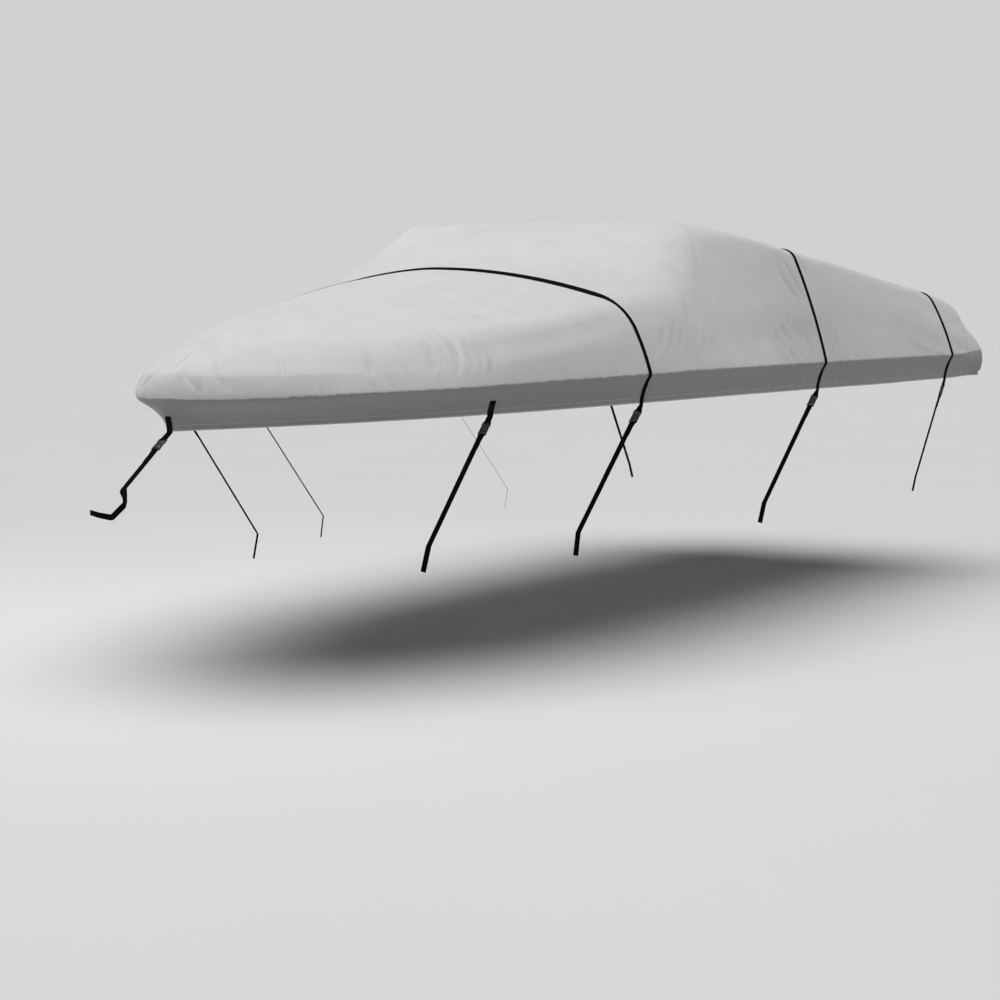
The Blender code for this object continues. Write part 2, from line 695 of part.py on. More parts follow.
def main():
    for old in list(bpy.data.objects):
        bpy.data.objects.remove(old, do_unlink=True)
    make_materials()
    buckle_data = buckle_mesh()
    buckle_data.materials.append(bpy.data.materials["buckle plastic"])
    cover()
    make_straps(buckle_data)
    make_side_ties(buckle_data)
    make_bow_strap(buckle_data)


main()
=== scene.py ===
"""The looks of the boat cover: its cloth with creases and hem, its webbing, and its buckles.

Metres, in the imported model's frame: +X towards the stern, +Z up, port at -Y. The cloth is lofted
anew and finely from its four lines (spine, shoulder, rim and hem), and creases are pressed into it.
"""

import math
from collections import namedtuple

import bmesh
import bpy
import numpy as np
from mathutils import Matrix, Vector, noise


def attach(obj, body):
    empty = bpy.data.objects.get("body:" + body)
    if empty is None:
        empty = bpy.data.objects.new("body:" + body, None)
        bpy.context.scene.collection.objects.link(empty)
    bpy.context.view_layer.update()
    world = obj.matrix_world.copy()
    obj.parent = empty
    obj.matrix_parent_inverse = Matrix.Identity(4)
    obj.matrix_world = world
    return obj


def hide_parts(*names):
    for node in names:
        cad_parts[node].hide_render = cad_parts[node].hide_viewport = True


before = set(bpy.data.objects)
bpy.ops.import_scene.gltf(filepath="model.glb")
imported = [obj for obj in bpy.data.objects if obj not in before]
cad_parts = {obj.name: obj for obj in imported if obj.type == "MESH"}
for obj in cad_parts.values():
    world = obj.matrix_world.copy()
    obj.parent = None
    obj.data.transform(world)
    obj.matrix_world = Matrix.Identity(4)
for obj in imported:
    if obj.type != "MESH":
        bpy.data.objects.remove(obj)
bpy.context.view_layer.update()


def table(kind, *rows):
    """Rows of numbers, each as a named tuple of that kind."""
    return tuple(kind(*row) for row in rows)


# Sizes of the pieces.
CLOTH = 0.0012  # thickness of the cloth
WEB_WIDTH = 0.026
WEB_THICKNESS = 0.0016
GAP = 0.0003  # between webbing and the webbing or the bar under it
SEAT_GAP = 0.0005  # between webbing and the cloth under it
# Where the straps and the side ties lie along the cover.
FORE_STRAP = -0.91
MID_STRAP = 0.73
AFT_STRAP = 2.38
SIDE_TIE = -1.70
TIE_RIB = 0.016  # from a tie's middle to the ribs that it is laid between

# The buckle, and its plates in millimetres: x along it, y across it, and z from low to high. A plate
# may be there at both ends or on both sides.
BUCKLE_LENGTH = 0.062
BAR_DEPTH = 0.0032
BAR_REACH = 0.0045  # how far a bar reaches along the buckle
Plate = namedtuple("Plate", "x0 x1 y0 y1 radius low high ends sides")
BAR = Plate(26.5, 31.0, -15.5, 15.5, 1.4, -1.6, 1.6, 2, 1)
RAIL = Plate(16.7, 31.0, 14.1, 18.5, 1.8, -2.95, 2.95, 2, 2)
SOCKET = Plate(-19.7, -10.0, -18.5, 18.5, 3.0, -3.75, 3.75, 1, 1)
PLUG = Plate(10.0, 19.7, -17.5, 17.5, 3.0, -3.75, 3.75, 1, 1)
CHEEK = Plate(-12.0, 8.8, 7.5, 15.0, 1.5, -3.75, 3.75, 1, 2)
PRONG = Plate(-8.5, 12.0, 14.5, 18.1, 1.6, -2.35, 2.35, 1, 2)
TONGUE = Plate(-12.0, 12.0, -3.5, 3.5, 1.5, -1.9, 1.9, 1, 1)
GRIPS = [Plate(at, at + 1.2, 17.7, 18.5, 0.2, -1.95, 1.95, 1, 2) for at in (-4.0, -1.2, 1.6, 4.4)]
RIDGES = [Plate(at, at + 1.2, -10.0, 10.0, 0.4, 3.15, 3.85, 1, 1) for at in (12.6, 15.0, 17.4)]
CORNER_POINTS = 4  # faces in a plate's round corner
EASED = 0.0004  # how far the plates' edges are rounded

# How the webs run. The drops and the tails are lengths along them.
WRAP = BAR_DEPTH / 2 + GAP + WEB_THICKNESS / 2  # from a bar's middle to that of the web about it
WRAP_STEPS = 10
LAYER = WEB_THICKNESS + GAP
ON_CLOTH = SEAT_GAP + WEB_THICKNESS / 2
HEM_OVERHANG = 0.004  # how far a web goes straight on past the hem
BAR_DROP = 0.032  # from there to its buckle's upper bar
BOW_BAR_DROP = 0.045
TAIL_ON_SKIRT = 0.085  # how far a strap's tail reaches up the skirt
TAB_ON_SKIRT = 0.052  # and the outer layer of a tie's tab
TAB_STEP = 0.006  # how much further its inner layer reaches
TAIL_BELOW = 0.070  # the tail of a lower web
TAIL_FLAT = 0.4  # share of the tail below a buckle that lies flat
TAIL_AT_HEM = 1.2  # how many layers high the tail lies there
TAIL_AT_BEND = 1.5
BEND_RUN = 0.012  # how far before and behind its middle a bend starts and ends

# Where the lower webs bend and end, and how many degrees they are turned about themselves.
Low = namedtuple("Low", "bend end turn")
FORE_LOW = Low(Vector((-0.800, 0.680, -1.355)), Vector((-0.820, 0.680, -1.452)), 25)
MID_LOW = Low(Vector((0.873, 0.740, -1.355)), Vector((0.839, 0.735, -1.449)), 30)
AFT_LOW = Low(Vector((2.423, 0.885, -1.330)), Vector((2.428, 0.868, -1.405)), 0)
TIE_LOW = Low(Vector((-1.580, 0.440, -1.355)), Vector((-1.614, 0.436, -1.457)), 0)

# The bow strap's lower web: it turns on edge, in degrees, and comes round to the front.
Turn = namedtuple("Turn", "x y z twist")
BOW_END = table(
    Turn,
    (-2.893, 0.000, -1.037, 0), (-2.905, 0.000, -1.046, 0), (-2.916, -0.008, -1.057, 25),
    (-2.927, -0.021, -1.070, 50), (-2.937, -0.034, -1.084, 72), (-2.950, -0.042, -1.100, 90),
    (-3.014, -0.043, -1.137, 90), (-3.022, -0.040, -1.139, 90), (-3.042, -0.003, -1.131, 90),
    (-3.052, 0.030, -1.122, 90),
)
FLAT = Vector((0.0, 1.0, 0.0))  # the way the bow strap's width lies when it is flat
ON_EDGE = Vector((-0.50, 0.0, 0.866))  # and when it is on edge

# The four lines of the cloth, to starboard. Stations count along the cover, and go on round the
# corner of the stern to its middle at 3.95. A side's row gives the reach of the shoulder's rounding,
# how far the flank bulges, and the reach of the rim's rounding.
Row = namedtuple("Row", "station x y z")
Side = namedtuple("Side", "station reach bulge round")
Lean = namedtuple("Lean", "station drop")
SPINE = table(
    Row,
    (-3.05, -2.34, 0.0, -0.503), (-2.81, -2.24, 0.0, -0.478), (-2.63, -2.15, 0.0, -0.460),
    (-2.30, -1.98, 0.0, -0.427), (-1.89, -1.74, 0.0, -0.382), (-1.40, -1.40, 0.0, -0.318),
    (-0.91, -0.91, 0.0, -0.230), (-0.45, -0.45, 0.0, -0.112), (-0.10, -0.10, 0.0, -0.020),
    (0.02, 0.02, 0.0, 0.002), (0.16, 0.16, 0.0, -0.012), (0.73, 0.73, 0.0, -0.098),
    (1.60, 1.60, 0.0, -0.208), (2.38, 2.38, 0.0, -0.315), (2.56, 2.56, 0.0, -0.344),
    (2.70, 2.67, 0.0, -0.376), (2.88, 2.75, 0.0, -0.415),
)
SHOULDER = table(
    Row,
    (-3.05, -2.555, 0.0, -0.570), (-2.93, -2.535, 0.085, -0.570), (-2.81, -2.475, 0.165, -0.567),
    (-2.63, -2.360, 0.265, -0.558), (-2.30, -2.120, 0.450, -0.534), (-1.89, -1.800, 0.670, -0.515),
    (-1.40, -1.400, 0.865, -0.468), (-0.91, -0.910, 0.952, -0.380), (-0.55, -0.550, 0.962, -0.324),
    (-0.25, -0.250, 0.852, -0.176), (0.03, 0.030, 0.770, -0.033), (0.16, 0.160, 0.790, -0.037),
    (0.42, 0.420, 0.882, -0.080), (0.73, 0.730, 0.938, -0.132), (1.40, 1.400, 0.952, -0.214),
    (2.38, 2.380, 0.952, -0.333), (2.56, 2.560, 0.952, -0.358), (2.72, 2.715, 0.957, -0.389),
    (2.88, 2.792, 0.940, -0.448), (3.00, 2.822, 0.870, -0.452), (3.20, 2.834, 0.700, -0.453),
    (3.55, 2.838, 0.400, -0.454), (3.95, 2.840, 0.0, -0.454),
)
RIM = table(
    Row,
    (-3.05, -2.681, 0.0, -0.7270), (-2.93, -2.654, 0.123, -0.7285), (-2.81, -2.584, 0.220, -0.7285),
    (-2.63, -2.450, 0.343, -0.7230), (-2.30, -2.200, 0.545, -0.7120), (-1.89, -1.850, 0.770, -0.6980),
    (-1.40, -1.400, 0.960, -0.6790), (-0.90, -0.900, 1.090, -0.6660), (-0.30, -0.300, 1.120, -0.6595),
    (0.70, 0.700, 1.125, -0.6590), (1.70, 1.700, 1.115, -0.6600), (2.45, 2.450, 1.099, -0.6640),
    (2.78, 2.790, 1.088, -0.6660), (2.88, 2.911, 1.093, -0.6670), (2.97, 2.968, 1.040, -0.6680),
    (3.10, 2.988, 0.910, -0.6690), (3.55, 3.004, 0.452, -0.6700), (3.95, 3.007, 0.0, -0.6700),
)
HEM = table(
    Row,
    (-3.05, -2.645, 0.0, -0.8500), (-2.93, -2.575, 0.075, -0.8470), (-2.81, -2.492, 0.148, -0.8440),
    (-2.63, -2.372, 0.258, -0.8390), (-2.30, -2.145, 0.462, -0.8290), (-1.89, -1.825, 0.705, -0.8140),
    (-1.40, -1.400, 0.906, -0.8000), (-0.90, -0.900, 1.045, -0.7880), (-0.30, -0.300, 1.075, -0.7855),
    (0.70, 0.700, 1.080, -0.7865), (1.70, 1.700, 1.070, -0.7900), (2.45, 2.450, 1.055, -0.7900),
    (2.78, 2.775, 1.045, -0.7860), (2.88, 2.890, 1.056, -0.7850), (2.97, 2.940, 1.003, -0.7850),
    (3.10, 2.960, 0.890, -0.7850), (3.55, 2.975, 0.442, -0.7850), (3.95, 2.978, 0.0, -0.7850),
)
SIDE = table(
    Side,
    (-3.05, 0.105, 0.030, 0.030), (-2.63, 0.118, 0.022, 0.018), (-2.30, 0.130, 0.013, 0.010),
    (-1.40, 0.120, 0.013, 0.010), (-0.91, 0.085, 0.013, 0.010), (-0.45, 0.060, 0.013, 0.010),
    (0.73, 0.050, 0.013, 0.010), (2.45, 0.060, 0.013, 0.010), (2.64, 0.066, 0.010, 0.030),
    (2.88, 0.075, 0.003, 0.100), (3.95, 0.075, 0.014, 0.100),
)
# How much further the shoulder's rounding reaches to port, where the top runs softly into the side.
Soft = namedtuple("Soft", "station more")
PORT_SOFT = table(
    Soft,
    (-3.05, 0.0), (-1.20, 0.0), (-0.60, 0.060), (-0.35, 0.100), (-0.12, 0.090), (0.00, 0.075),
    (0.10, 0.050), (0.25, 0.018), (0.55, 0.0), (3.95, 0.0),
)
SOFT_LIFT = 0.15  # how much the shoulder is raised there for each metre of that, to keep the outline
# How much lower the shoulder lies to starboard.
LEAN = table(
    Lean,
    (-3.05, 0.0), (-2.30, 0.010), (-1.40, 0.032), (-0.91, 0.040), (-0.45, 0.027), (-0.10, 0.010),
    (0.03, -0.017), (0.40, -0.006), (0.80, 0.0), (3.95, 0.0),
)
STARBOARD, PORT = 1, -1
BOTH = (STARBOARD, PORT)
SIDES = (("starboard", STARBOARD), ("port", PORT))
FULLNESS = {STARBOARD: 1.6, PORT: 2.0}  # the higher, the fuller the top is across
BOW = -3.05
CORNER_START = 2.78  # stations at the corner of the stern
CORNER = 2.88
CORNER_END = 3.02
SIDE_FALL = 0.12  # slope of the top where it meets the shoulder, at the sides and at the stern
STERN_FALL = 0.42
SKIRT_HOLLOW = 0.18  # bow of the skirt, as a share of how far it draws in
SLOPE_SPAN = 0.02  # how far to either side the slope of the spine is taken
# Across values: 0 on the spine, 1 on the shoulder, 2 on the rim and 3 on the hem.
TOP_END = 0.95  # where the rounding of the shoulder starts
RIM_BAND = 0.1  # what the rounding of the rim takes up

# Which station of the stern each share of the top runs to.
Edge = namedtuple("Edge", "station place")
STERN_EDGE = table(
    Edge,
    (0.0, 3.95), (0.24, 3.66), (0.46, 3.40), (0.66, 3.19), (0.82, 3.05), (0.93, 2.96), (1.0, 2.88),
)

# How finely the cloth is divided.
Zone = namedtuple("Zone", "end step")  # ribs lie this close together up to the station where a zone ends
ZONES = table(
    Zone,
    (-2.78, 0.012), (-2.42, 0.030), (-1.65, 0.011), (-0.98, 0.030), (1.00, 0.0115), (1.68, 0.034),
    (2.78, 0.014),
)
TOP_STEPS = 22
SHOULDER_STEPS = 7
FLANK_STEPS = 14
RIM_STEPS = 6
# Places down the skirt, closer together at the hem.
SKIRT_SHARES = (0.15, 0.32, 0.5, 0.66, 0.79, 0.83, 0.91, 0.98, 1.0)
CORNER_STEPS = 6  # ribs from the side to the corner of the stern

CLEAR_START = 0.016  # creases and swells fade out between these distances from a strap's middle line
CLEAR_END = 0.045
SETTLE_START = 0.0135  # the cloth is level under a strap, and on its own slope again at the second distance
SETTLE_END = 0.060
PRESS = 0.0006  # how far a strap presses the cloth in, less and less between these two distances
PRESS_START = 0.012
PRESS_END = 0.030
# Where a tab is sewn to the skirt, so that the cloth lies flat.
Patch = namedtuple("Patch", "x y radius")
PATCHES = (Patch(-2.66, 0.0, 0.02), Patch(-1.68, 0.80, 0.03))
PATCH_FADE = 0.05
SKIRT_TOP = -0.70  # the flat patches reach up to here
# The slope at which the fore strap lies on the top, where the cloth bulges up behind it. To
# starboard the across values are negative.
Tilt = namedtuple("Tilt", "across slope")
FORE_TILT = table(
    Tilt,
    (-1.06, 0.0), (-0.50, 0.0), (-0.42, 0.26), (0.0, 0.36), (0.30, 0.44), (0.90, 0.62), (1.10, 0.0),
)
MERGE = 0.00005  # vertices this close become one
HEM_FOLD = 0.022  # height of the hem, where the cloth is double
HEM_THICKNESS = 0.0024
HEM_STITCH = 0.0045
STERN_UV = (8.0, 1.0)  # the stern's lengths start here, clear of the sides'
RELIEF_FULL = 0.009  # depth of a crease at which the shade painted into it shows in full
CREASE_STEPS = 8  # points from one place of a crease's route to the next
SAME = 1e-9  # stations this close are the same
TINY = 1e-12  # square of a length too short to divide by
CREASE_REACH = 3  # how many widths away a crease still moves the cloth
CREASE_FADE = 0.6  # the lower, the more suddenly a crease ends

STRAPS = (FORE_STRAP, MID_STRAP, AFT_STRAP)
Grid = namedtuple("Grid", "stations points across")
Step = namedtuple("Step", "point width")  # a place on a web's middle line, and the way its width lies
Line = namedtuple("Line", "start along width out")  # the straight line of a buckle and its lower web

# A web's cross-section: shares of half its width and of half its thickness, once round.
Spot = namedtuple("Spot", "across through")
WEB_PROFILE = table(
    Spot,
    (-1.00, 0.30), (-0.95, 0.92), (-0.60, 1.0), (-0.12, 1.0), (0.0, 0.86), (0.12, 1.0), (0.60, 1.0),
    (0.95, 0.92), (1.00, 0.30), (1.00, -0.30), (0.95, -0.92), (0.60, -1.0), (0.0, -1.0), (-0.60, -1.0),
    (-0.95, -0.92), (-1.00, -0.30),
)
WEB_STEP = 0.012  # the longest step along a web
SEWN_EDGE = 0.004  # from the edge of the webbing to its stitches
STITCH_PITCH = 0.0036
STITCH_SIZE = (0.0014, 0.00045, 0.00035)

# Colours, and the sizes of weaves.
CLOTH_LIGHT = (0.545, 0.530, 0.534)
CLOTH_DARK = (0.510, 0.495, 0.499)
CLOTH_WORN = (0.600, 0.588, 0.590)
# The colour of painted shade, mixed into the cloth in the troughs of its creases and over its skirt.
PAINTED_SHADE_COLOUR = (0.225, 0.214, 0.216)
HEM_THREAD = (0.640, 0.630, 0.630)
SKIRT_PAINTED_SHADE = 0.95  # painted shade: how strongly the skirt is darkened, as if in shade
PAINTED_SHADE_SPAN = 0.04  # the band across the rim in which the skirt's painted shade starts
PAINTED_SHADE_LIFT = 0.020  # how much higher the painted shade starts at the stern, rising between these two stations
PAINTED_SHADE_LIFT_START = 2.50
PAINTED_SHADE_LIFT_END = 2.85
YARN = 0.0011  # pitch of the cloth's weave
WEB_DARK = (0.002, 0.002, 0.0025)
WEB_LIGHT = (0.008, 0.008, 0.009)
WEB_MIDDLE = (0.018, 0.018, 0.020)
WEB_WORN = (0.016, 0.016, 0.017)
RIB_PITCH = 0.0024
WARP_PITCH = 0.0016
SEWING = (0.020, 0.020, 0.022)
SEWING_LIGHT = (0.060, 0.060, 0.064)
PLASTIC = (0.005, 0.005, 0.006)
PLASTIC_WORN = (0.016, 0.016, 0.017)
FLOOR_LOW = (0.61, 0.61, 0.61)
FLOOR_HIGH = (0.63, 0.63, 0.63)

# The studio and the camera.
FLOOR = -1.845
CAMERA = (-9.188, -5.653, -0.325)
PITCH = math.radians(5.217)
HEADING = (0.842, 0.539)  # the way the camera looks, seen from above
LOOK = Vector((HEADING[0] * math.cos(PITCH), HEADING[1] * math.cos(PITCH), -math.sin(PITCH)))
LENS = 82.55
SENSOR = 36  # millimetres wide
FAR = 200  # as far as the camera sees
STAGE_REACH = 120.0  # from the floor's middle to its edges
SKY = (0.99, 0.985, 0.99)
SKY_LOW = 0.645  # strength of the sky at the horizon, which is what is seen of it
SKY_HIGH = 0.05  # and overhead
SKY_BAND = 0.13  # how high it starts to fade, as a share of the way up
SUN_SIZE = math.radians(72)  # how wide the main light is, which makes its shadows soft
SUN_FROM = (-0.12, -0.03, 0.992)
SUN_STRENGTH = 3.10
Lamp = namedtuple("Lamp", "name place target size power colour")
LAMPS = (
    Lamp("bow_light", (-1.9, 1.6, 2.8), (-2.1, 0.1, -0.5), (2.6, 2.2), 50, (1.0, 0.995, 0.995)),
)

# Wide, soft unevenness of the cloth: how high it is and how far from swell to swell.
Swell = namedtuple("Swell", "length depth seed")
SWELLS = (Swell(0.55, 0.0040, 3.1), Swell(0.22, 0.0012, 7.7))

# Creases, with depth and width in millimetres: depth is positive for a ridge and negative for a trough.
# A place on the cloth is a station and an across value. Those on both sides are shifted along the
# cover to starboard, each a little differently, so that no two are alike.
Crease = namedtuple("Crease", "depth width route sides", defaults=[BOTH])
Place = namedtuple("Place", "station across")
OTHER_SIDE = 0.05  # the largest of those shifts
OTHER_TURN = 2.4  # how it swings from one crease to the next
CREASES = table(
    Crease,
    # the edge of what lies under the cloth: a soft ridge along both sides, with a hollow below it
    (5.2, 42, ((-2.10, 1.14), (-1.67, 1.13), (-1.26, 1.12), (-0.86, 1.06), (-0.45, 1.12))),
    (-7.8, 55, ((-2.10, 1.32), (-1.71, 1.33), (-1.29, 1.28), (-1.01, 1.22), (-0.60, 1.30))),
    (3.2, 32, ((-2.99, 1.12), (-2.67, 1.08), (-2.30, 1.14), (-2.00, 1.13), (-1.80, 1.14))),
    (-3.9, 40, ((-2.77, 1.38), (-2.51, 1.42), (-2.23, 1.50), (-1.94, 1.53), (-1.50, 1.50))),
    (-4.5, 42, ((-0.30, 1.78), (0.06, 1.80), (0.54, 1.73), (0.98, 1.64))),
    (2.6, 35, ((-0.30, 1.58), (0.06, 1.60), (0.54, 1.55), (0.98, 1.48))),
    (-3.2, 42, ((1.10, 1.68), (1.48, 1.63), (2.00, 1.58))),
    # lines that run together at the bow
    (-5.3, 13, ((-2.64, 1.76), (-2.60, 1.54), (-2.59, 1.30))),
    (-5.7, 13, ((-2.80, 1.84), (-2.86, 1.50), (-2.88, 1.20))),
    (-4.4, 12, ((-2.89, 1.92), (-2.95, 1.66), (-3.00, 1.40))),
    (6.2, 12, ((-3.00, 2.02), (-3.015, 1.62), (-3.02, 1.20)), (PORT,)),
    (-5.3, 10, ((-2.965, 2.02), (-2.985, 1.65), (-3.00, 1.28)), (PORT,)),
    (-4.0, 10, ((-2.915, 2.06), (-2.910, 1.85), (-2.91, 1.50)), (PORT,)),
    (3.5, 10, ((-2.870, 2.06), (-2.870, 1.80), (-2.88, 1.48)), (PORT,)),
    # slanting creases on the side, ahead of the fore strap
    (-5.7, 11, ((-1.955, 1.20), (-1.970, 1.44), (-1.990, 1.70))),
    (-7.5, 11, ((-1.800, 1.04), (-1.855, 1.37), (-1.885, 1.74))),
    (4.8, 11, ((-1.775, 1.04), (-1.830, 1.37), (-1.860, 1.74))),
    (-5.7, 10, ((-1.760, 1.04), (-1.800, 1.32))),
    (-6.6, 10, ((-1.775, 1.24), (-1.800, 1.48), (-1.820, 1.70))),
    (-5.7, 10, ((-1.745, 1.36), (-1.765, 1.56), (-1.780, 1.74))),
    (-6.6, 10, ((-1.710, 1.38), (-1.720, 1.60), (-1.740, 1.80))),
    (-4.8, 11, ((-2.070, 1.12), (-2.075, 1.36))),
    (-4.4, 11, ((-2.220, 1.30), (-2.245, 1.68))),
    # the forward face of the crest
    (-6.6, 13, ((-0.56, 0.62), (-0.45, 0.50), (-0.30, 0.40)), (STARBOARD,)),
    (-5.7, 13, ((-0.64, 0.56), (-0.54, 0.42), (-0.42, 0.28)), (STARBOARD,)),
    (-4.8, 12, ((-0.70, 0.60), (-0.62, 0.44), (-0.56, 0.30)), (STARBOARD,)),
    (-4.0, 14, ((-1.46, 0.34), (-1.34, 0.28), (-1.18, 0.22)), (PORT,)),
    (-3.5, 14, ((-1.60, 0.44), (-1.44, 0.36), (-1.28, 0.30)), (PORT,)),
    # fine folds from the corner of the crest down the side
    (-5.3, 10, ((-0.050, 1.00), (-0.200, 1.10), (-0.370, 1.26), (-0.520, 1.48))),
    (-5.7, 10, ((0.005, 1.02), (-0.150, 1.16), (-0.330, 1.36))),
    (-6.6, 10, ((0.080, 1.00), (-0.080, 1.18), (-0.260, 1.38))),
    (4.8, 10, ((0.045, 1.01), (-0.110, 1.17), (-0.290, 1.37))),
    (-4.0, 10, ((0.140, 1.04), (0.030, 1.26), (-0.130, 1.44))),
    (-3.5, 11, ((-0.090, 0.98), (-0.260, 1.07), (-0.420, 1.17))),
    # a fan above the rim, between the fore and the mid strap
    (-5.3, 11, ((-0.790, 1.72), (-0.740, 1.55), (-0.690, 1.42))),
    (-5.3, 11, ((-0.730, 1.74), (-0.660, 1.56), (-0.590, 1.40))),
    (-4.8, 11, ((-0.670, 1.76), (-0.600, 1.60), (-0.540, 1.45))),
    (-5.3, 10, ((-0.540, 1.80), (-0.470, 1.66), (-0.400, 1.54))),
    (-5.7, 10, ((-0.490, 1.86), (-0.410, 1.74), (-0.330, 1.62))),
    (-4.8, 10, ((-0.440, 1.90), (-0.360, 1.78), (-0.280, 1.68))),
    (-4.0, 10, ((-0.360, 1.86), (-0.290, 1.74), (-0.210, 1.64))),
    # beside the mid strap, where its pull gathers the cloth
    (-8.8, 15, ((0.590, 1.08), (0.635, 1.21), (0.665, 1.36), (0.690, 1.48))),
    (-8.8, 14, ((0.540, 1.22), (0.565, 1.34), (0.620, 1.46))),
    (6.6, 13, ((0.570, 1.14), (0.605, 1.28), (0.650, 1.42))),
    (-7.9, 12, ((0.765, 1.04), (0.795, 1.14), (0.840, 1.24))),
    (-6.2, 12, ((0.280, 1.74), (0.360, 1.86), (0.450, 2.00))),
    (4.8, 11, ((0.310, 1.70), (0.395, 1.83), (0.490, 1.99))),
    (-6.2, 12, ((0.340, 1.66), (0.440, 1.82), (0.545, 1.99))),
    (4.8, 11, ((0.385, 1.63), (0.480, 1.79), (0.585, 1.97))),
    (-6.2, 12, ((0.420, 1.60), (0.520, 1.77), (0.625, 1.95))),
    (-5.3, 12, ((0.470, 1.56), (0.565, 1.74), (0.670, 1.92))),
    (-4.8, 12, ((0.230, 1.80), (0.285, 1.90), (0.340, 2.01))),
    (-4.4, 12, ((0.790, 1.96), (0.860, 1.84), (0.960, 1.74))),
    # beside the aft strap
    (-6.2, 15, ((1.760, 1.78), (2.000, 1.90), (2.310, 2.02))),
    (4.8, 14, ((1.800, 1.73), (2.040, 1.85), (2.330, 1.99))),
    (-6.2, 15, ((1.840, 1.68), (2.090, 1.80), (2.340, 1.95))),
    (-4.4, 15, ((1.930, 1.62), (2.170, 1.74), (2.340, 1.86))),
    (-5.7, 14, ((1.980, 1.16), (2.150, 1.28), (2.330, 1.44))),
    (-5.7, 14, ((2.090, 1.08), (2.230, 1.22), (2.340, 1.40))),
    (-5.7, 14, ((2.440, 1.56), (2.590, 1.46), (2.760, 1.38))),
    (-5.7, 14, ((2.430, 1.88), (2.560, 1.90), (2.680, 1.97))),
    (4.4, 14, ((2.430, 1.74), (2.560, 1.72), (2.700, 1.72))),
)

# Rows of short, uneven creases: count of them between two stations, each from top to bottom.
Gather = namedtuple("Gather", "start end count depth width top bottom lean")
GATHERS = table(
    Gather,
    (-2.58, -2.04, 9, -3.4, 11, 1.66, 2.12, 0.010),
    (-2.02, -1.10, 9, -2.0, 12, 1.78, 2.10, 0.005),
    (-0.84, -0.10, 9, -2.2, 12, 1.84, 2.16, -0.020),
    (-0.10, 0.66, 16, -3.1, 11, 1.80, 2.14, 0.030),
    (0.80, 1.14, 6, -3.1, 11, 1.80, 2.20, -0.020),
    (1.20, 2.30, 10, -2.0, 13, 1.86, 2.16, 0.010),
    (2.46, 2.82, 5, -3.1, 12, 1.70, 2.20, 0.010),
    (-3.00, -1.78, 15, -3.1, 14, 2.20, 3.10, 0.012),
    (-1.62, -1.00, 7, -2.7, 15, 2.25, 3.10, -0.010),
    (-0.84, 0.66, 15, -2.5, 16, 2.25, 3.10, 0.008),
    (0.80, 2.30, 14, -2.5, 16, 2.25, 3.10, -0.008),
    (2.46, 3.90, 14, -2.7, 15, 2.25, 3.10, 0.0),
    (2.90, 3.95, 12, -3.4, 16, 1.10, 1.90, 0.03),
)
# How unevenly they lie: how far off they are as shares of their spacing and of their lean, how far off
# their tops are, and the middle and the swing of their depth as shares of it. The turns are from one
# crease to the next.
Uneven = namedtuple("Uneven", "shift lean top top_turn depth swing depth_turn")
UNEVEN = Uneven(0.35, 0.4, 0.12, 3.1, 0.7, 0.5, 4.3)


def passed(value, start, end):
    """The share of the way from start to end, from 0 to 1."""
    return np.clip((value - start) / (end - start), 0, 1)


def smooth(rows, column, station, mirrored=0):
    """The column's value at a station, on a cubic through the rows that never overshoots.

    With mirrored 1 or -1 the rows go on past both ends, mirrored, with their values times that.
    """
    known = [(row.station, getattr(row, column)) for row in rows]
    if mirrored:
        before = (2 * known[0][0] - known[1][0], mirrored * known[1][1])
        after = (2 * known[-1][0] - known[-2][0], mirrored * known[-2][1])
        known = [before] + known + [after]
    here = min(max(station, rows[0].station), rows[-1].station)
    i = max(k for k in range(len(known) - 1) if known[k][0] <= here + SAME)
    rise = [(b[1] - a[1]) / (b[0] - a[0]) for a, b in zip(known, known[1:])]
    (s0, v0), (s1, v1) = known[i], known[i + 1]
    slope0 = knot_slope(rise, i)
    slope1 = knot_slope(rise, i + 1)
    width = s1 - s0
    t = (here - s0) / width
    return (
        v0 * (1 + 2 * t) * (1 - t) ** 2
        + v1 * t * t * (3 - 2 * t)
        + slope0 * width * t * (1 - t) ** 2
        - slope1 * width * t * t * (1 - t)
    )


def knot_slope(rise, knot):
    """The slope at a row: the harmonic mean of its neighbours' rises, or none at a turn."""
    if knot == 0:
        return rise[0]
    if knot == len(rise):
        return rise[-1]
    before, after = rise[knot - 1], rise[knot]
    return 0.0 if before * after <= 0 else 2 * before * after / (before + after)


def point_on(rows, station):
    """A point of one of the four lines, on the starboard side."""
    way = 0 if rows is SPINE else 1
    axes = (("x", way), ("y", -way), ("z", way))
    return Vector([smooth(rows, axis, station, mirrored) for axis, mirrored in axes])


def bowed(start, end, height, t):
    """A point between start and end, pushed out by height at the middle of the way."""
    chord = end - start
    flat = Vector((chord.x, chord.y, 0))
    away = (flat.normalized() * -chord.z + Vector((0, 0, flat.length))).normalized()
    return start + chord * t + away * (4 * height * t * (1 - t))


def arc(start, corner, end, t):
    """A point on the parabola that rounds a corner."""
    return start * (1 - t) ** 2 + corner * (2 * t * (1 - t)) + end * t * t


def shoulder_at(station, side):
    """The point where the top and the side would meet without the rounding between them."""
    drop = smooth(LEAN, "drop", station) if side == STARBOARD else 0
    lift = SOFT_LIFT * smooth(PORT_SOFT, "more", station) if side == PORT else 0
    return point_on(SHOULDER, station) + Vector((0, 0, lift - drop))


def top_line(station, side, shares):
    """Points of the top, from the spine at 0 to the shoulder at 1."""
    spine = point_on(SPINE, station)
    shoulder = shoulder_at(station, side)
    ahead, behind = point_on(SPINE, station - SLOPE_SPAN), point_on(SPINE, station + SLOPE_SPAN)
    slope = (behind.z - ahead.z) / (behind.x - ahead.x)
    start_rise = slope * (shoulder.x - spine.x)
    points = []
    for t in shares:
        point = spine.lerp(shoulder, t)
        point.z = spine.z + start_rise * t + (shoulder.z - spine.z - start_rise) * t ** FULLNESS[side]
        points.append(point)
    return points


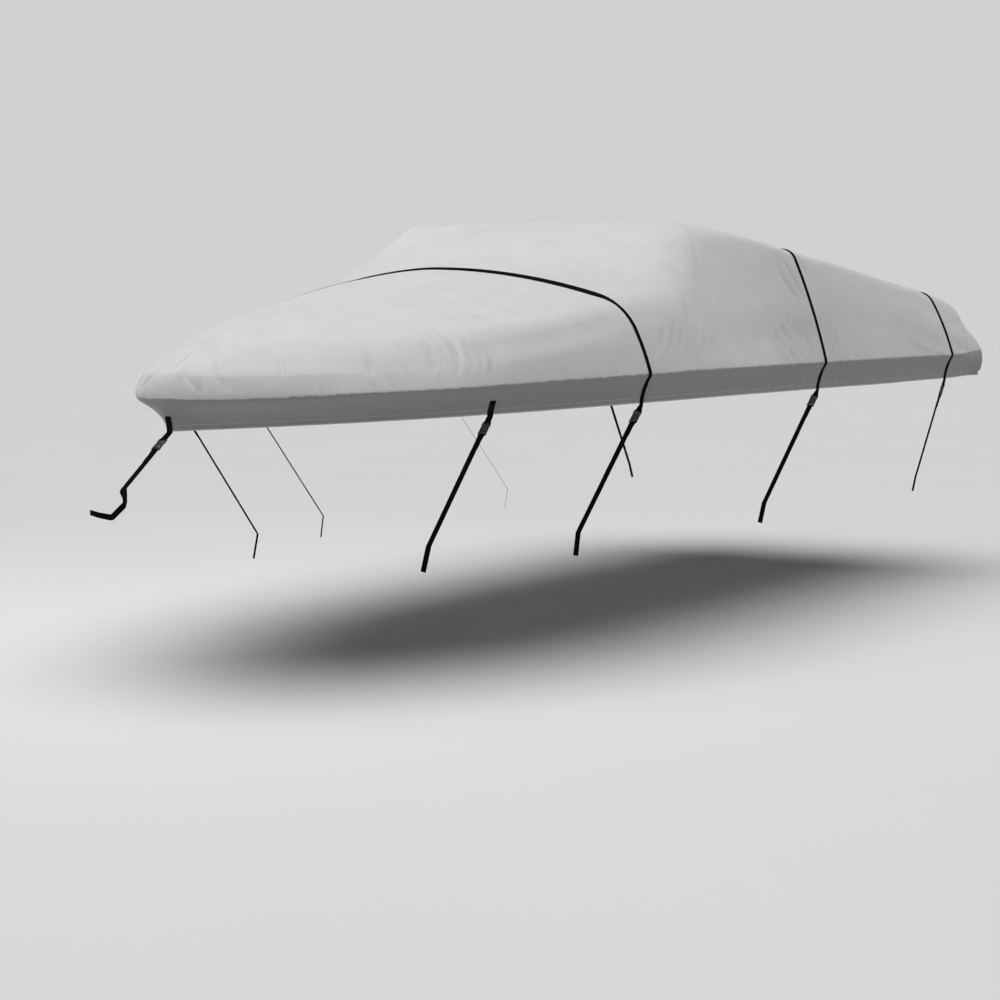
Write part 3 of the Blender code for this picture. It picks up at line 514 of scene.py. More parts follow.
def reach_at(station, side):
    """How far the shoulder's rounding reaches."""
    more = smooth(PORT_SOFT, "more", station) if side == PORT else 0
    return smooth(SIDE, "reach", station) + more


def top_share(station, side):
    """The share of the way to the shoulder at which the top's rounding starts."""
    run = (shoulder_at(station, side) - point_on(SPINE, station)).length
    return 1 - reach_at(station, side) / run


def top_edge(station, side):
    """Where the top ends and the rounding of the shoulder starts."""
    shoulder = shoulder_at(station, side)
    turned = passed(station, CORNER_START, CORNER_END)
    if turned == 0:
        return top_line(station, side, [top_share(station, side)])[0]
    inward = Vector((-turned, turned - 1, 0)).normalized()
    inward.z = SIDE_FALL + (STERN_FALL - SIDE_FALL) * turned
    return shoulder + inward * reach_at(station, side)


def outer_rib(station, side):
    """The points from the shoulder's inner edge over the rim to the hem, and their across values."""
    shoulder = shoulder_at(station, side)
    rim = point_on(RIM, station)
    hem = point_on(HEM, station)
    bulge = smooth(SIDE, "bulge", station)
    rounding = smooth(SIDE, "round", station)
    length = (rim - shoulder).length
    first = reach_at(station, side) / length
    last = 1 - rounding / length
    flank = [first + (last - first) * k / FLANK_STEPS for k in range(FLANK_STEPS + 1)]
    start = top_edge(station, side)
    turned_in = bowed(shoulder, rim, bulge, first)
    points = [arc(start, shoulder, turned_in, k / SHOULDER_STEPS) for k in range(SHOULDER_STEPS)]
    across = [TOP_END + (1 - TOP_END + first) * k / SHOULDER_STEPS for k in range(SHOULDER_STEPS)]
    points += [bowed(shoulder, rim, bulge, t) for t in flank]
    across += [1 + t for t in flank]
    flank_end = points[-1]
    under_rim = rim + (hem - rim).normalized() * rounding
    points += [arc(flank_end, rim, under_rim, k / RIM_STEPS) for k in range(1, RIM_STEPS + 1)]
    across += [2 + RIM_BAND * (k / RIM_STEPS - 0.5) for k in range(1, RIM_STEPS + 1)]
    tuck = Vector((hem.x - rim.x, hem.y - rim.y, 0))
    for t in SKIRT_SHARES:
        points.append(under_rim.lerp(hem, t) + tuck * (4 * SKIRT_HOLLOW * t * (1 - t)))
        across.append(2 + RIM_BAND / 2 + (1 - RIM_BAND / 2) * t)
    return points, across


def section(station, side):
    """A whole rib from the spine to the hem, and its across values."""
    share = top_share(station, side)
    steps = [k / TOP_STEPS for k in range(TOP_STEPS)]
    points, across = outer_rib(station, side)
    top = top_line(station, side, [share * step for step in steps])
    return top + points, [TOP_END * step for step in steps] + across


def whole_ribs(side):
    """The ribs from the middle of the bow to the corner of the stern, with stations."""
    stations = [BOW]
    for zone in ZONES:
        start = stations[-1]
        count = round((zone.end - start) / zone.step)
        stations += [start + (zone.end - start) * k / count for k in range(1, count + 1)]
    ribs = [section(station, side) for station in stations]
    last_top = [top_edge(smooth(STERN_EDGE, "place", k / TOP_STEPS), side) for k in range(TOP_STEPS)]
    start_top = ribs[-1][0][:TOP_STEPS]
    for k in range(1, CORNER_STEPS + 1):
        t = k / CORNER_STEPS
        station = CORNER_START + (CORNER - CORNER_START) * t
        points, across = outer_rib(station, side)
        top = [a.lerp(b, t) for a, b in zip(start_top, last_top)]
        ribs.append((top + points, ribs[0][1][:TOP_STEPS] + across))
        stations.append(station)
    return stations, ribs


def stern_ribs(side):
    """The ribs of the stern, from its corner to its middle."""
    stations = [smooth(STERN_EDGE, "place", k / TOP_STEPS) for k in range(TOP_STEPS, -1, -1)]
    return stations, [outer_rib(station, side) for station in stations]


def all_grids():
    """The fine grids of both sides, each with its stations, its points and their across values."""
    grids = {}
    for side in BOTH:
        flip = Vector((1, side, 1))
        for name, (stations, ribs) in (("whole", whole_ribs(side)), ("stern", stern_ribs(side))):
            points = np.array([[p * flip for p in rib] for rib, _ in ribs])
            across = np.array([values for _, values in ribs])
            grids[side, name] = Grid(np.array(stations), points, across)
    return grids


def tilt_at(strap, side, across):
    """The slope at which a strap and the cloth under it lie."""
    if strap != FORE_STRAP:
        return 0
    acrosses, slopes = zip(*FORE_TILT)
    return np.interp(-side * across, acrosses, slopes)


def settled(grid, side):
    """The grid with the cloth level under each strap, and on its own slope again a little way off."""
    points = grid.points.copy()
    for strap in STRAPS:
        for i, station in enumerate(grid.stations):
            off = station - strap
            if abs(off) < SETTLE_END:
                share = passed(abs(off), SETTLE_START, SETTLE_END)
                eased = share * share * (1.5 - 0.5 * share)
                near = strap + math.copysign(SETTLE_END * eased, off)
                for column in (1, 2):
                    for k in range(points.shape[1]):
                        points[i, k, column] = np.interp(near, grid.stations, grid.points[:, k, column])
                tilt = np.array([tilt_at(strap, side, across) for across in grid.across[i]])
                points[i, :, 2] += tilt * off * (1 - share)
    return Grid(grid.stations, points, grid.across)


def place_point(grids, side, place):
    """The point of the cloth at a station and an across value."""
    grid = grids[side, "whole" if place.station <= CORNER else "stern"]
    i = int(np.searchsorted(grid.stations, place.station)) - 1
    i = min(max(i, 0), len(grid.stations) - 2)
    share = (place.station - grid.stations[i]) / (grid.stations[i + 1] - grid.stations[i])
    ends = []
    for rib in (i, i + 1):
        ends.append(np.array([np.interp(place.across, grid.across[rib], grid.points[rib, :, axis])
                              for axis in range(3)]))
    return ends[0] * (1 - share) + ends[1] * share


def placed_creases(side):
    """The creases of a side that are placed one by one."""
    found = []
    for k, crease in enumerate(CREASES):
        if side in crease.sides:
            moved = side == STARBOARD and crease.sides == BOTH
            shift = OTHER_SIDE * math.sin(OTHER_TURN * k) if moved else 0
            route = [Place(station + shift, across) for station, across in crease.route]
            found.append(crease._replace(route=route))
    return found


def gathered_creases(side):
    """The short, uneven creases of a side, along its rim and down its skirt."""
    found = []
    for row, gather in enumerate(GATHERS):
        for k in range(gather.count):
            wave = math.sin(OTHER_TURN * (k + 1) * (row + 2) + side)
            share = (k + 0.5 + UNEVEN.shift * wave) / gather.count
            station = gather.start + (gather.end - gather.start) * share
            lean = gather.lean * (1 + UNEVEN.lean * wave)
            top = gather.top + UNEVEN.top * math.sin(UNEVEN.top_turn * k + side)
            middle = Place(station + lean / 2, (top + gather.bottom) / 2)
            route = [Place(station, top), middle, Place(station + lean, gather.bottom)]
            depth = gather.depth * (UNEVEN.depth + UNEVEN.swing * math.sin(UNEVEN.depth_turn * k + row))
            found.append(Crease(depth, gather.width, route))
    return found


def crease_path(grids, side, route):
    """Points along a crease, close together, with their share of the way."""
    places = []
    for a, b in zip(route, route[1:]):
        for k in range(CREASE_STEPS):
            t = k / CREASE_STEPS
            station = a.station + (b.station - a.station) * t
            places.append(Place(station, a.across + (b.across - a.across) * t))
    places.append(route[-1])
    points = np.array([place_point(grids, side, place) for place in places])
    return points, np.linspace(0, 1, len(points))


def crease_height(vertices, points, shares, crease):
    """How far a crease moves each vertex along its normal: most at the middle of its way, fading out."""
    width = crease.width / 1000
    low = points.min(axis=0) - CREASE_REACH * width
    high = points.max(axis=0) + CREASE_REACH * width
    near = np.nonzero(((vertices > low) & (vertices < high)).all(axis=1))[0]
    height = np.zeros(len(vertices))
    if len(near) == 0:
        return height
    best = np.full(len(near), np.inf)
    where = np.zeros(len(near))
    for a, b, sa, sb in zip(points, points[1:], shares, shares[1:]):
        run = b - a
        t = np.clip(((vertices[near] - a) @ run) / max(run @ run, TINY), 0, 1)
        off = np.linalg.norm(vertices[near] - a - t[:, None] * run, axis=1)
        closer = off < best
        best[closer] = off[closer]
        where[closer] = (sa + (sb - sa) * t)[closer]
    fade = np.sin(np.pi * np.clip(where, 0, 1)) ** CREASE_FADE
    height[near] = crease.depth / 1000 * np.exp(-(best / width) ** 2) * fade
    return height


def near_strap(vertices, start, end):
    """0 under a strap and 1 away from it, rising between the two distances."""
    away = np.ones(len(vertices))
    for strap in STRAPS:
        t = passed(np.abs(vertices[:, 0] - strap), start, end)
        away = np.minimum(away, t * t * (3 - 2 * t))
    return away


def uv_face(mesh, uv, corners):
    """A smooth face through corners, each a vertex with its place in the UV map."""
    face = mesh.faces.new([vertex for vertex, _ in corners])
    face.smooth = True
    for loop, (_, place) in zip(face.loops, corners):
        loop[uv].uv = place


def cloth_rows(mesh, grid, side, start):
    """A grid's ribs as rows of vertices, with their places in the UV map, which begins at start."""
    from_hem = mesh.verts.layers.float["from_hem"]
    under_rim = mesh.verts.layers.float["under_rim"]
    steps = np.linalg.norm(np.diff(grid.points, axis=1), axis=2)
    down = np.concatenate([np.zeros((len(steps), 1)), np.cumsum(steps, axis=1)], axis=1)
    rim_end = -1 - len(SKIRT_SHARES)
    runs = np.linalg.norm(np.diff(grid.points[:, rim_end], axis=0), axis=1)
    along = start[0] + np.concatenate([[0], np.cumsum(runs)])
    # Where the painted shade of the skirt starts down each rib: at the rim, and higher towards the stern.
    lift = PAINTED_SHADE_LIFT * passed(grid.stations, PAINTED_SHADE_LIFT_START, PAINTED_SHADE_LIFT_END)
    rows = []
    for i, rib in enumerate(grid.points):
        skirt_shade_down = down[i, rim_end - RIM_STEPS // 2] - lift[i]
        row = []
        for k, point in enumerate(rib):
            vertex = mesh.verts.new(point)
            vertex[from_hem] = down[i, -1] - down[i, k]
            vertex[under_rim] = passed(down[i, k], skirt_shade_down - PAINTED_SHADE_SPAN / 2, skirt_shade_down + PAINTED_SHADE_SPAN / 2)
            row.append((vertex, (along[i], side * (down[i, k] + start[1]))))
        rows.append(row)
    return rows


def cloth_mesh(grids):
    """The cover's outer face before its creases, with lengths along and across it as a UV map."""
    mesh = bmesh.new()
    uv = mesh.loops.layers.uv.new("cloth")
    for layer in ("from_hem", "under_rim"):
        mesh.verts.layers.float.new(layer)
    for (side, name), grid in grids.items():
        if name == "whole":
            rows = cloth_rows(mesh, settled(grid, side), side, (0, 0))
        else:
            rows = cloth_rows(mesh, grid, side, STERN_UV)
        for a, b in zip(rows, rows[1:]):
            for k in range(len(a) - 1):
                uv_face(mesh, uv, (a[k], a[k + 1], b[k + 1], b[k]))
    bmesh.ops.remove_doubles(mesh, verts=mesh.verts, dist=MERGE)
    bmesh.ops.recalc_face_normals(mesh, faces=mesh.faces)
    if sum(face.normal.z * face.calc_area() for face in mesh.faces) < 0:
        bmesh.ops.reverse_faces(mesh, faces=mesh.faces)
    return mesh


def relief(grids, places):
    """How far each vertex moves along its normal, by creases and swells and under the straps."""
    height = np.zeros(len(places))
    for side in BOTH:
        for crease in placed_creases(side) + gathered_creases(side):
            points, shares = crease_path(grids, side, crease.route)
            height += crease_height(places, points, shares, crease)
    for swell in SWELLS:
        seed = Vector((swell.seed, 0, 0))
        for i, place in enumerate(places):
            height[i] += swell.depth * noise.noise(Vector(place / swell.length) + seed)
    height *= near_strap(places, CLEAR_START, CLEAR_END)
    for patch in PATCHES:
        off = np.hypot(places[:, 0] - patch.x, np.abs(places[:, 1]) - patch.y)
        kept = passed(off, patch.radius, patch.radius + PATCH_FADE)
        kept[places[:, 2] > SKIRT_TOP] = 1
        height *= kept
    return height - PRESS * (1 - near_strap(places, PRESS_START, PRESS_END))


def make_cover(grids):
    """The cover with its creases, its thickness and the double cloth of its hem."""
    made = new_object("cover_cloth", cloth_mesh(grids), "cover cloth")
    data = made.data
    count = len(data.vertices)
    places, normals, hem = np.empty((count, 3)), np.empty((count, 3)), np.empty(count)
    data.vertices.foreach_get("co", places.ravel())
    data.vertex_normals.foreach_get("vector", normals.ravel())
    data.attributes["from_hem"].data.foreach_get("value", hem)
    height = relief(grids, places)
    data.vertices.foreach_set("co", (places + normals * height[:, None]).ravel())
    shown = data.attributes.new("relief", "FLOAT", "POINT")
    shown.data.foreach_set("value", height / RELIEF_FULL)
    group = made.vertex_groups.new(name="thickness")
    for where, share in ((hem < HEM_FOLD, 1.0), (hem >= HEM_FOLD, CLOTH / HEM_THICKNESS)):
        group.add(np.nonzero(where)[0].tolist(), share, "REPLACE")
    thickness = made.modifiers.new("thickness", "SOLIDIFY")
    thickness.thickness = HEM_THICKNESS
    thickness.vertex_group = "thickness"
    thickness.offset = -1
    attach(made, "root")
    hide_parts("cover")
    return made


def finished(name, mesh, *materials):
    """A mesh's data from a finished bmesh, with its materials."""
    data = bpy.data.meshes.new(name)
    mesh.to_mesh(data)
    mesh.free()
    for material in materials:
        data.materials.append(bpy.data.materials[material])
    return data


def linked(name, data):
    """An object with that data, in the scene."""
    made = bpy.data.objects.new(name, data)
    bpy.context.collection.objects.link(made)
    return made


def new_object(name, mesh, *materials):
    """An object from a finished bmesh, with its materials."""
    return linked(name, finished(name, mesh, *materials))


def facing(steps):
    """The web's outward normal at each step, mitred so that the runs beside it keep their thickness."""
    runs = [(a.width + b.width).cross(b.point - a.point).normalized() for a, b in zip(steps, steps[1:])]
    joints = [(before + after) / (1 + before.dot(after)) for before, after in zip(runs, runs[1:])]
    return [runs[0]] + joints + [runs[-1]]


def lifted(steps, heights):
    """The steps moved outwards, each by its own height."""
    return [Step(s.point + n * h, s.width) for s, n, h in zip(steps, facing(steps), heights)]


def raised(steps, height):
    """The steps moved outwards, all by one height."""
    return lifted(steps, [height] * len(steps))


def mirrored(steps):
    """The same steps on the other side."""
    flip = Vector((1, -1, 1))
    return [Step(s.point * flip, s.width * flip) for s in steps]


def last_stretch(steps, length):
    """The end of a route, cut so that length is left."""
    kept = [steps[-1]]
    for step in reversed(steps[:-1]):
        here = kept[0]
        run = (step.point - here.point).length
        if run > length:
            share = length / run
            return [Step(here.point.lerp(step.point, share), here.width.lerp(step.width, share))] + kept
        kept.insert(0, step)
        length -= run
    return kept


def line_below(inner, low, turn=0):
    """The line that a web takes once it has left the skirt, towards its lower bend."""
    hem = inner[-1]
    middle = inner[SKIRT_SHARES.index(0.5) - len(SKIRT_SHARES)]
    down = (hem.point - middle.point).normalized()
    start = hem.point + down * HEM_OVERHANG
    along = (low - start).normalized()
    width = (hem.width - along * hem.width.dot(along)).normalized()
    width.rotate(Matrix.Rotation(-math.radians(turn), 3, along))
    return Line(start, along, width, width.cross(along))


def on_line(line, distance, height):
    """A step on the line, that far along it and that high above its inner layer."""
    return Step(line.start + line.along * distance + line.out * height, line.width)


def round_bar(line, distance, way):
    """A web's half turn about a bar, from its inner side outwards, past the bar's end that way."""
    steps = []
    for k in range(WRAP_STEPS + 1):
        angle = math.pi * k / WRAP_STEPS
        reach = way * (BAR_REACH / 2 + WRAP * math.sin(angle))
        steps.append(on_line(line, distance + reach, WRAP - WRAP * math.cos(angle)))
    return steps


def looped_end(inner, line, drop, tail):
    """What follows a web's inner layer: its turn about the buckle's upper bar, and its tail."""
    bend = Step(line.start, inner[-1].width)
    at_bar = on_line(line, drop - BAR_REACH, 0)
    under = last_stretch(inner, tail)
    route = under + [bend, at_bar]
    heights = [LAYER] * (len(under) - 1) + [TAIL_AT_HEM * LAYER, TAIL_AT_BEND * LAYER, 2 * WRAP]
    back = lifted(route, heights)
    return [bend, at_bar] + round_bar(line, drop, 1) + back[::-1]


def strap_over(station):
    """The inner layer of a strap on the cover, from the port hem to the starboard hem."""
    halves = {}
    for side in BOTH:
        halves[side] = [
            Step(Vector((station, p.y, p.z)), Vector((1, 0, tilt_at(station, side, across))).normalized())
            for p, across in zip(*section(station, side))
        ]
    return raised(mirrored(halves[PORT][1:])[::-1] + halves[STARBOARD], ON_CLOTH)


def tie_on_skirt():
    """The inner layer of a side tie, down the starboard skirt."""
    ribs = [outer_rib(station, STARBOARD)[0] for station in (SIDE_TIE - TIE_RIB, SIDE_TIE + TIE_RIB)]
    middle = [Step((a + b) / 2, (b - a).normalized()) for a, b in zip(*ribs)]
    return raised(middle[-len(SKIRT_SHARES) - 1:], ON_CLOTH)


def bow_on_skirt():
    """The inner layer of the bow strap's tab, down the front of the skirt."""
    skirt = outer_rib(BOW, STARBOARD)[0][-len(SKIRT_SHARES) - 1:]
    return raised([Step(p, FLAT) for p in skirt], ON_CLOTH)


def lower_start(line, drop, tail):
    """A lower web's tail and its turn about the buckle's lower bar."""
    bar = drop + BUCKLE_LENGTH - BAR_REACH
    over_bar = on_line(line, bar + BAR_REACH / 2, 2 * WRAP)
    outer = [on_line(line, bar + tail, LAYER), on_line(line, bar + tail * TAIL_FLAT, LAYER), over_bar]
    return outer + round_bar(line, bar, -1)[::-1]


def lower_web(line, drop, low):
    """A lower web from its tail, about the buckle's lower bar, and past its bend to its flat end."""
    end_way = (low.end - low.bend).normalized()
    end_width = (line.width - end_way * line.width.dot(end_way)).normalized()
    before = Step(low.bend - line.along * BEND_RUN, line.width)
    bend = Step(low.bend, (line.width + end_width).normalized())
    square = Step(low.bend + end_way * BEND_RUN, end_width)
    return lower_start(line, drop, TAIL_BELOW) + [before, bend, square, Step(low.end, end_width)]


def bow_web(line):
    """The bow strap's lower web, which turns on edge and comes round to the front at its end."""
    steps = lower_start(line, BOW_BAR_DROP, TAIL_BELOW)
    points = [Vector(turn[:3]) for turn in BOW_END]
    for k, turn in enumerate(BOW_END):
        after = points[min(k + 1, len(points) - 1)]
        before = points[k - 1] if k else steps[-1].point
        along = (after - before).normalized()
        twist = math.radians(turn.twist)
        width = FLAT * math.cos(twist) + ON_EDGE * math.sin(twist)
        steps.append(Step(points[k], (width - along * width.dot(along)).normalized()))
    return steps


def finer(steps, longest):
    """The steps with more between them wherever two lie further apart than longest."""
    fine = [steps[0]]
    for a, b in zip(steps, steps[1:]):
        count = max(1, math.ceil((b.point - a.point).length / longest))
        for k in range(1, count + 1):
            share = k / count
            fine.append(Step(a.point.lerp(b.point, share), a.width.lerp(b.width, share).normalized()))
    return fine


def web(name, node, steps, sewn=None):
    """A length of webbing along its steps, with soft edges, and with stitches where it is sewn down."""
    steps = finer(steps, WEB_STEP)
    mesh = bmesh.new()
    uv = mesh.loops.layers.uv.new("web")
    rings = []
    length = 0
    before = steps[0].point
    for step, normal in zip(steps, facing(steps)):
        length += (step.point - before).length
        before = step.point
        ring = []
        for spot in WEB_PROFILE:
            across = spot.across * WEB_WIDTH / 2
            point = step.point + step.width * across + normal * spot.through * WEB_THICKNESS / 2
            ring.append((mesh.verts.new(point), (length, across)))
        rings.append(ring)
    for a, b in zip(rings, rings[1:]):
        for k in range(len(WEB_PROFILE)):
            uv_face(mesh, uv, (a[k], a[k - 1], b[k - 1], b[k]))
    mesh.faces.new([corner[0] for corner in rings[0]])
    mesh.faces.new([corner[0] for corner in rings[-1]][::-1])
    bmesh.ops.recalc_face_normals(mesh, faces=mesh.faces)
    if sewn:
        add_stitches(mesh, sewn)
    made = new_object(name, mesh, "woven webbing", "thread")
    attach(made, "root")
    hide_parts(node)
    return made


def add_stitches(mesh, steps):
    """A box of stitches with a cross in it, on the outer face of the webbing along these steps."""
    start = steps[0]
    run = steps[-1].point - start.point
    along = run.normalized()
    out = start.width.cross(along).normalized()
    origin = start.point + out * (WEB_THICKNESS / 2)
    half = WEB_WIDTH / 2 - SEWN_EDGE
    low, high = SEWN_EDGE, run.length - SEWN_EDGE
    box = ((low, -half), (high, -half), (high, half), (low, half))
    a, b, c, d = [origin + along * x + start.width * y for x, y in box]
    for ends in ((a, b), (b, c), (c, d), (d, a), (a, c), (b, d)):
        stitch_row(mesh, *ends, out)


def stitch_row(mesh, start, end, out):
    """A row of stitches from one point to another, on a face that looks out."""
    run = (end - start).length
    way = (end - start) / run
    count = max(1, round(run / STITCH_PITCH))
    for k in range(count):
        place = Matrix((way, out.cross(way), out)).transposed().to_4x4()
        place.translation = start + way * run * (k + 0.5) / count
        shape = place @ Matrix.Diagonal((*STITCH_SIZE, 1))
        made = bmesh.ops.create_icosphere(mesh, subdivisions=1, radius=1, matrix=shape)
        for vertex in made["verts"]:
            for face in vertex.link_faces:
                face.material_index = 1
                face.smooth = True


def rounded(x0, x1, y0, y1, radius):
    """The outline of a rectangle with round corners."""
    outline = []
    right, left, far, near = x1 - radius, x0 + radius, y1 - radius, y0 + radius
    for cx, cy, start in ((right, far, 0), (left, far, 90), (left, near, 180), (right, near, 270)):
        for k in range(CORNER_POINTS + 1):
            angle = math.radians(start + 90 * k / CORNER_POINTS)
            outline.append((cx + radius * math.cos(angle), cy + radius * math.sin(angle)))
    return outline


def plate(mesh, shape, end, side):
    """One of the buckle's plates, at one end and on one side, with softened edges."""
    x0, x1 = sorted((end * shape.x0, end * shape.x1))
    y0, y1 = sorted((side * shape.y0, side * shape.y1))
    outline = rounded(x0, x1, y0, y1, shape.radius)
    bottom = [mesh.verts.new((x / 1000, y / 1000, shape.low / 1000)) for x, y in outline]
    top = [mesh.verts.new((x / 1000, y / 1000, shape.high / 1000)) for x, y in outline]
    faces = [mesh.faces.new(bottom[::-1]), mesh.faces.new(top)]
    for k in range(len(outline)):
        faces.append(mesh.faces.new((bottom[k - 1], bottom[k], top[k], top[k - 1])))
    rim = {edge for face in faces[:2] for edge in face.edges}
    bmesh.ops.bevel(mesh, geom=list(rim), offset=EASED, segments=2, affect="EDGES", profile=0.5)


def buckle_mesh():
    """A side-release buckle along X: its socket above, its plug below, a bar and a slot at each end."""
    mesh = bmesh.new()
    for shape in (BAR, RAIL, SOCKET, PLUG, CHEEK, PRONG, *GRIPS, TONGUE, *RIDGES):
        for end in (-1, 1)[-shape.ends:]:
            for side in (-1, 1)[-shape.sides:]:
                plate(mesh, shape, end, side)
    for face in mesh.faces:
        face.smooth = True
    return finished("buckle", mesh, "buckle plastic")


def buckle(name, data, line, drop, side):
    """A buckle on its line, with its upper bar at that drop."""
    middle = on_line(line, drop - BAR_REACH / 2 + BUCKLE_LENGTH / 2, WRAP).point
    flip = Vector((1, side, 1))
    along, out = line.along * flip, line.out * flip
    body = linked(name + "_plastic", data)
    body.location = middle * flip
    body.rotation_mode = "QUATERNION"
    body.rotation_quaternion = Matrix((along, out.cross(along), out)).transposed().to_quaternion()
    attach(body, "root")
    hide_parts(name)
    return body


def make_straps(buckle_data):
    """The three straps across the cover: each has a web over the top, two buckles and two lower webs."""
    straps = (("fore", FORE_STRAP, FORE_LOW), ("mid", MID_STRAP, MID_LOW), ("aft", AFT_STRAP, AFT_LOW))
    for name, station, low in straps:
        over = strap_over(station)
        line = line_below(over, low.bend, low.turn)
        end = looped_end(over, line, BAR_DROP, TAIL_ON_SKIRT)
        web(f"strap_{name}_web", f"strap_{name}", mirrored(end)[::-1] + over + end)
        lower = lower_web(line, BAR_DROP, low)
        for word, side in SIDES:
            steps = lower if side == STARBOARD else mirrored(lower)
            web(f"lower_web_{name}_{word}_web", f"lower_web_{name}_{word}", steps)
            buckle(f"buckle_{name}_{word}", buckle_data, line, BAR_DROP, side)


def make_side_ties(buckle_data):
    """The two side ties: a tab sewn to the skirt, a buckle and a lower web each."""
    skirt = tie_on_skirt()
    inner = last_stretch(skirt, TAB_ON_SKIRT + TAB_STEP)
    line = line_below(skirt, TIE_LOW.bend)
    tab = inner + looped_end(inner, line, BAR_DROP, TAB_ON_SKIRT)
    lower = lower_web(line, BAR_DROP, TIE_LOW)
    sewn = raised(last_stretch(inner, TAB_ON_SKIRT), LAYER)
    for word, side in SIDES:
        way = list if side == STARBOARD else mirrored
        web(f"tie_tab_{word}_web", f"tie_tab_{word}", way(tab), way(sewn))
        web(f"tie_web_{word}_web", f"tie_web_{word}", way(lower))
        buckle(f"buckle_tie_{word}", buckle_data, line, BAR_DROP, side)


def make_bow_strap(buckle_data):
    """The bow strap: its tab on the front of the skirt, a buckle and its lower web."""
    skirt = bow_on_skirt()
    inner = last_stretch(skirt, TAB_ON_SKIRT + TAB_STEP)
    line = line_below(skirt, Vector(BOW_END[0][:3]))
    tab = inner + looped_end(inner, line, BOW_BAR_DROP, TAB_ON_SKIRT)
    web("bow_tab_web", "bow_tab", tab, raised(last_stretch(inner, TAB_ON_SKIRT), LAYER))
    web("bow_web_web", "bow_web", bow_web(line))
    buckle("buckle_bow", buckle_data, line, BOW_BAR_DROP, STARBOARD)


class Nodes:
    """A material's node tree, with short calls for its nodes."""

    def __init__(self, name):
        self.material = bpy.data.materials.new(name)
        self.material.use_nodes = True
        self.tree = self.material.node_tree
        self.shader = self.tree.nodes["Principled BSDF"]
        self.place = self.node("TexCoord").outputs["Object"]

    def node(self, kind, **values):
        """A node, with its properties and its inputs set."""
        made = self.tree.nodes.new("ShaderNode" + kind)
        for key, value in values.items():
            if hasattr(made, key):
                setattr(made, key, value)
            else:
                self.put(made.inputs[key.replace("_", " ").title()], value)
        return made

    def put(self, socket, value):
        """A value or another node's output into a socket."""
        if isinstance(value, bpy.types.NodeSocket):
            self.tree.links.new(value, socket)
        else:
            socket.default_value = value

    def set(self, name, value):
        """A value or another node's output into one of the shader's inputs."""
        self.put(self.shader.inputs[name], value)

    def uv(self, name):
        """The two lengths of a UV map."""
        lengths = self.node("UVMap", uv_map=name).outputs[0]
        return self.node("SeparateXYZ", vector=lengths).outputs[:2]

    def attribute(self, name):
        """A number that the mesh carries at its vertices."""
        return self.node("Attribute", attribute_name=name).outputs["Fac"]

    def math(self, operation, a, b=0.0, c=0.0):
        """The result of a math node."""
        made = self.tree.nodes.new("ShaderNodeMath")
        made.operation = operation
        for socket, value in zip(made.inputs, (a, b, c)):
            self.put(socket, value)
        return made.outputs[0]

    def times(self, a, b):
        """A product."""
        return self.math("MULTIPLY", a, b)

    def wave(self, length, pitch):
        """A sine wave along a length."""
        return self.math("SINE", self.times(length, math.tau / pitch))

    def noise(self, scale, detail, vector=None):
        """A noise value, at a place in the object unless another vector is given."""
        vector = self.place if vector is None else vector
        return self.node("TexNoise", vector=vector, scale=scale, detail=detail).outputs[0]

    def ramp(self, value, low, high, out_low=0.0, out_high=1.0):
        """The value mapped from low..high to out_low..out_high, smoothly and clamped."""
        made = self.tree.nodes.new("ShaderNodeMapRange")
        made.interpolation_type = "SMOOTHSTEP"
        for socket, number in zip(made.inputs, (value, low, high, out_low, out_high)):
            self.put(socket, number)
        return made.outputs[0]

    def mix(self, share, a, b):
        """Two colours mixed, each a tuple or another node's output."""
        made = self.tree.nodes.new("ShaderNodeMix")
        made.data_type = "RGBA"
        self.put(made.inputs[0], share)
        for socket, colour in ((made.inputs[6], a), (made.inputs[7], b)):
            self.put(socket, (*colour, 1) if isinstance(colour, tuple) else colour)
        return made.outputs[2]

    def bump(self, height, strength, distance, below=None):
        """A bump of that height in metres, on top of another."""
        made = self.tree.nodes.new("ShaderNodeBump")
        made.inputs["Strength"].default_value = strength
        made.inputs["Distance"].default_value = distance
        self.put(made.inputs["Height"], height)
        if below is not None:
            self.put(made.inputs["Normal"], below)
        return made.outputs[0]


def cloth_colour(made, mottle, skirt_shade, from_hem, stitch):
    """The cloth's colour: mottled, with painted shade in its folds and on the skirt, and worn at its edge.
    """
    wide = made.noise(scale=1.1, detail=3.0)
    tone = made.math("MULTIPLY_ADD", mottle, 0.5, made.times(wide, 0.5))
    colour = made.mix(made.ramp(tone, 0.35, 0.65), CLOTH_DARK, CLOTH_LIGHT)
    slub = made.noise(scale=90.0, detail=2.0)
    colour = made.mix(made.ramp(slub, 0.30, 0.75, 0.0, 0.18), colour, CLOTH_WORN)
    # painted shade: the cloth is darker in the troughs of its creases
    fold_shade = made.ramp(made.attribute("relief"), 0.0, -1.0, 0.0, 0.22)
    colour = made.mix(fold_shade, colour, PAINTED_SHADE_COLOUR)
    # painted shade: the skirt and the stern's low corner are darker, as if in shade
    colour = made.mix(skirt_shade, colour, PAINTED_SHADE_COLOUR)
    edge = made.ramp(from_hem, 0.003, 0.007, 0.55, 0.0)
    colour = made.mix(edge, colour, CLOTH_WORN)
    return made.mix(made.times(stitch, 0.7), colour, HEM_THREAD)


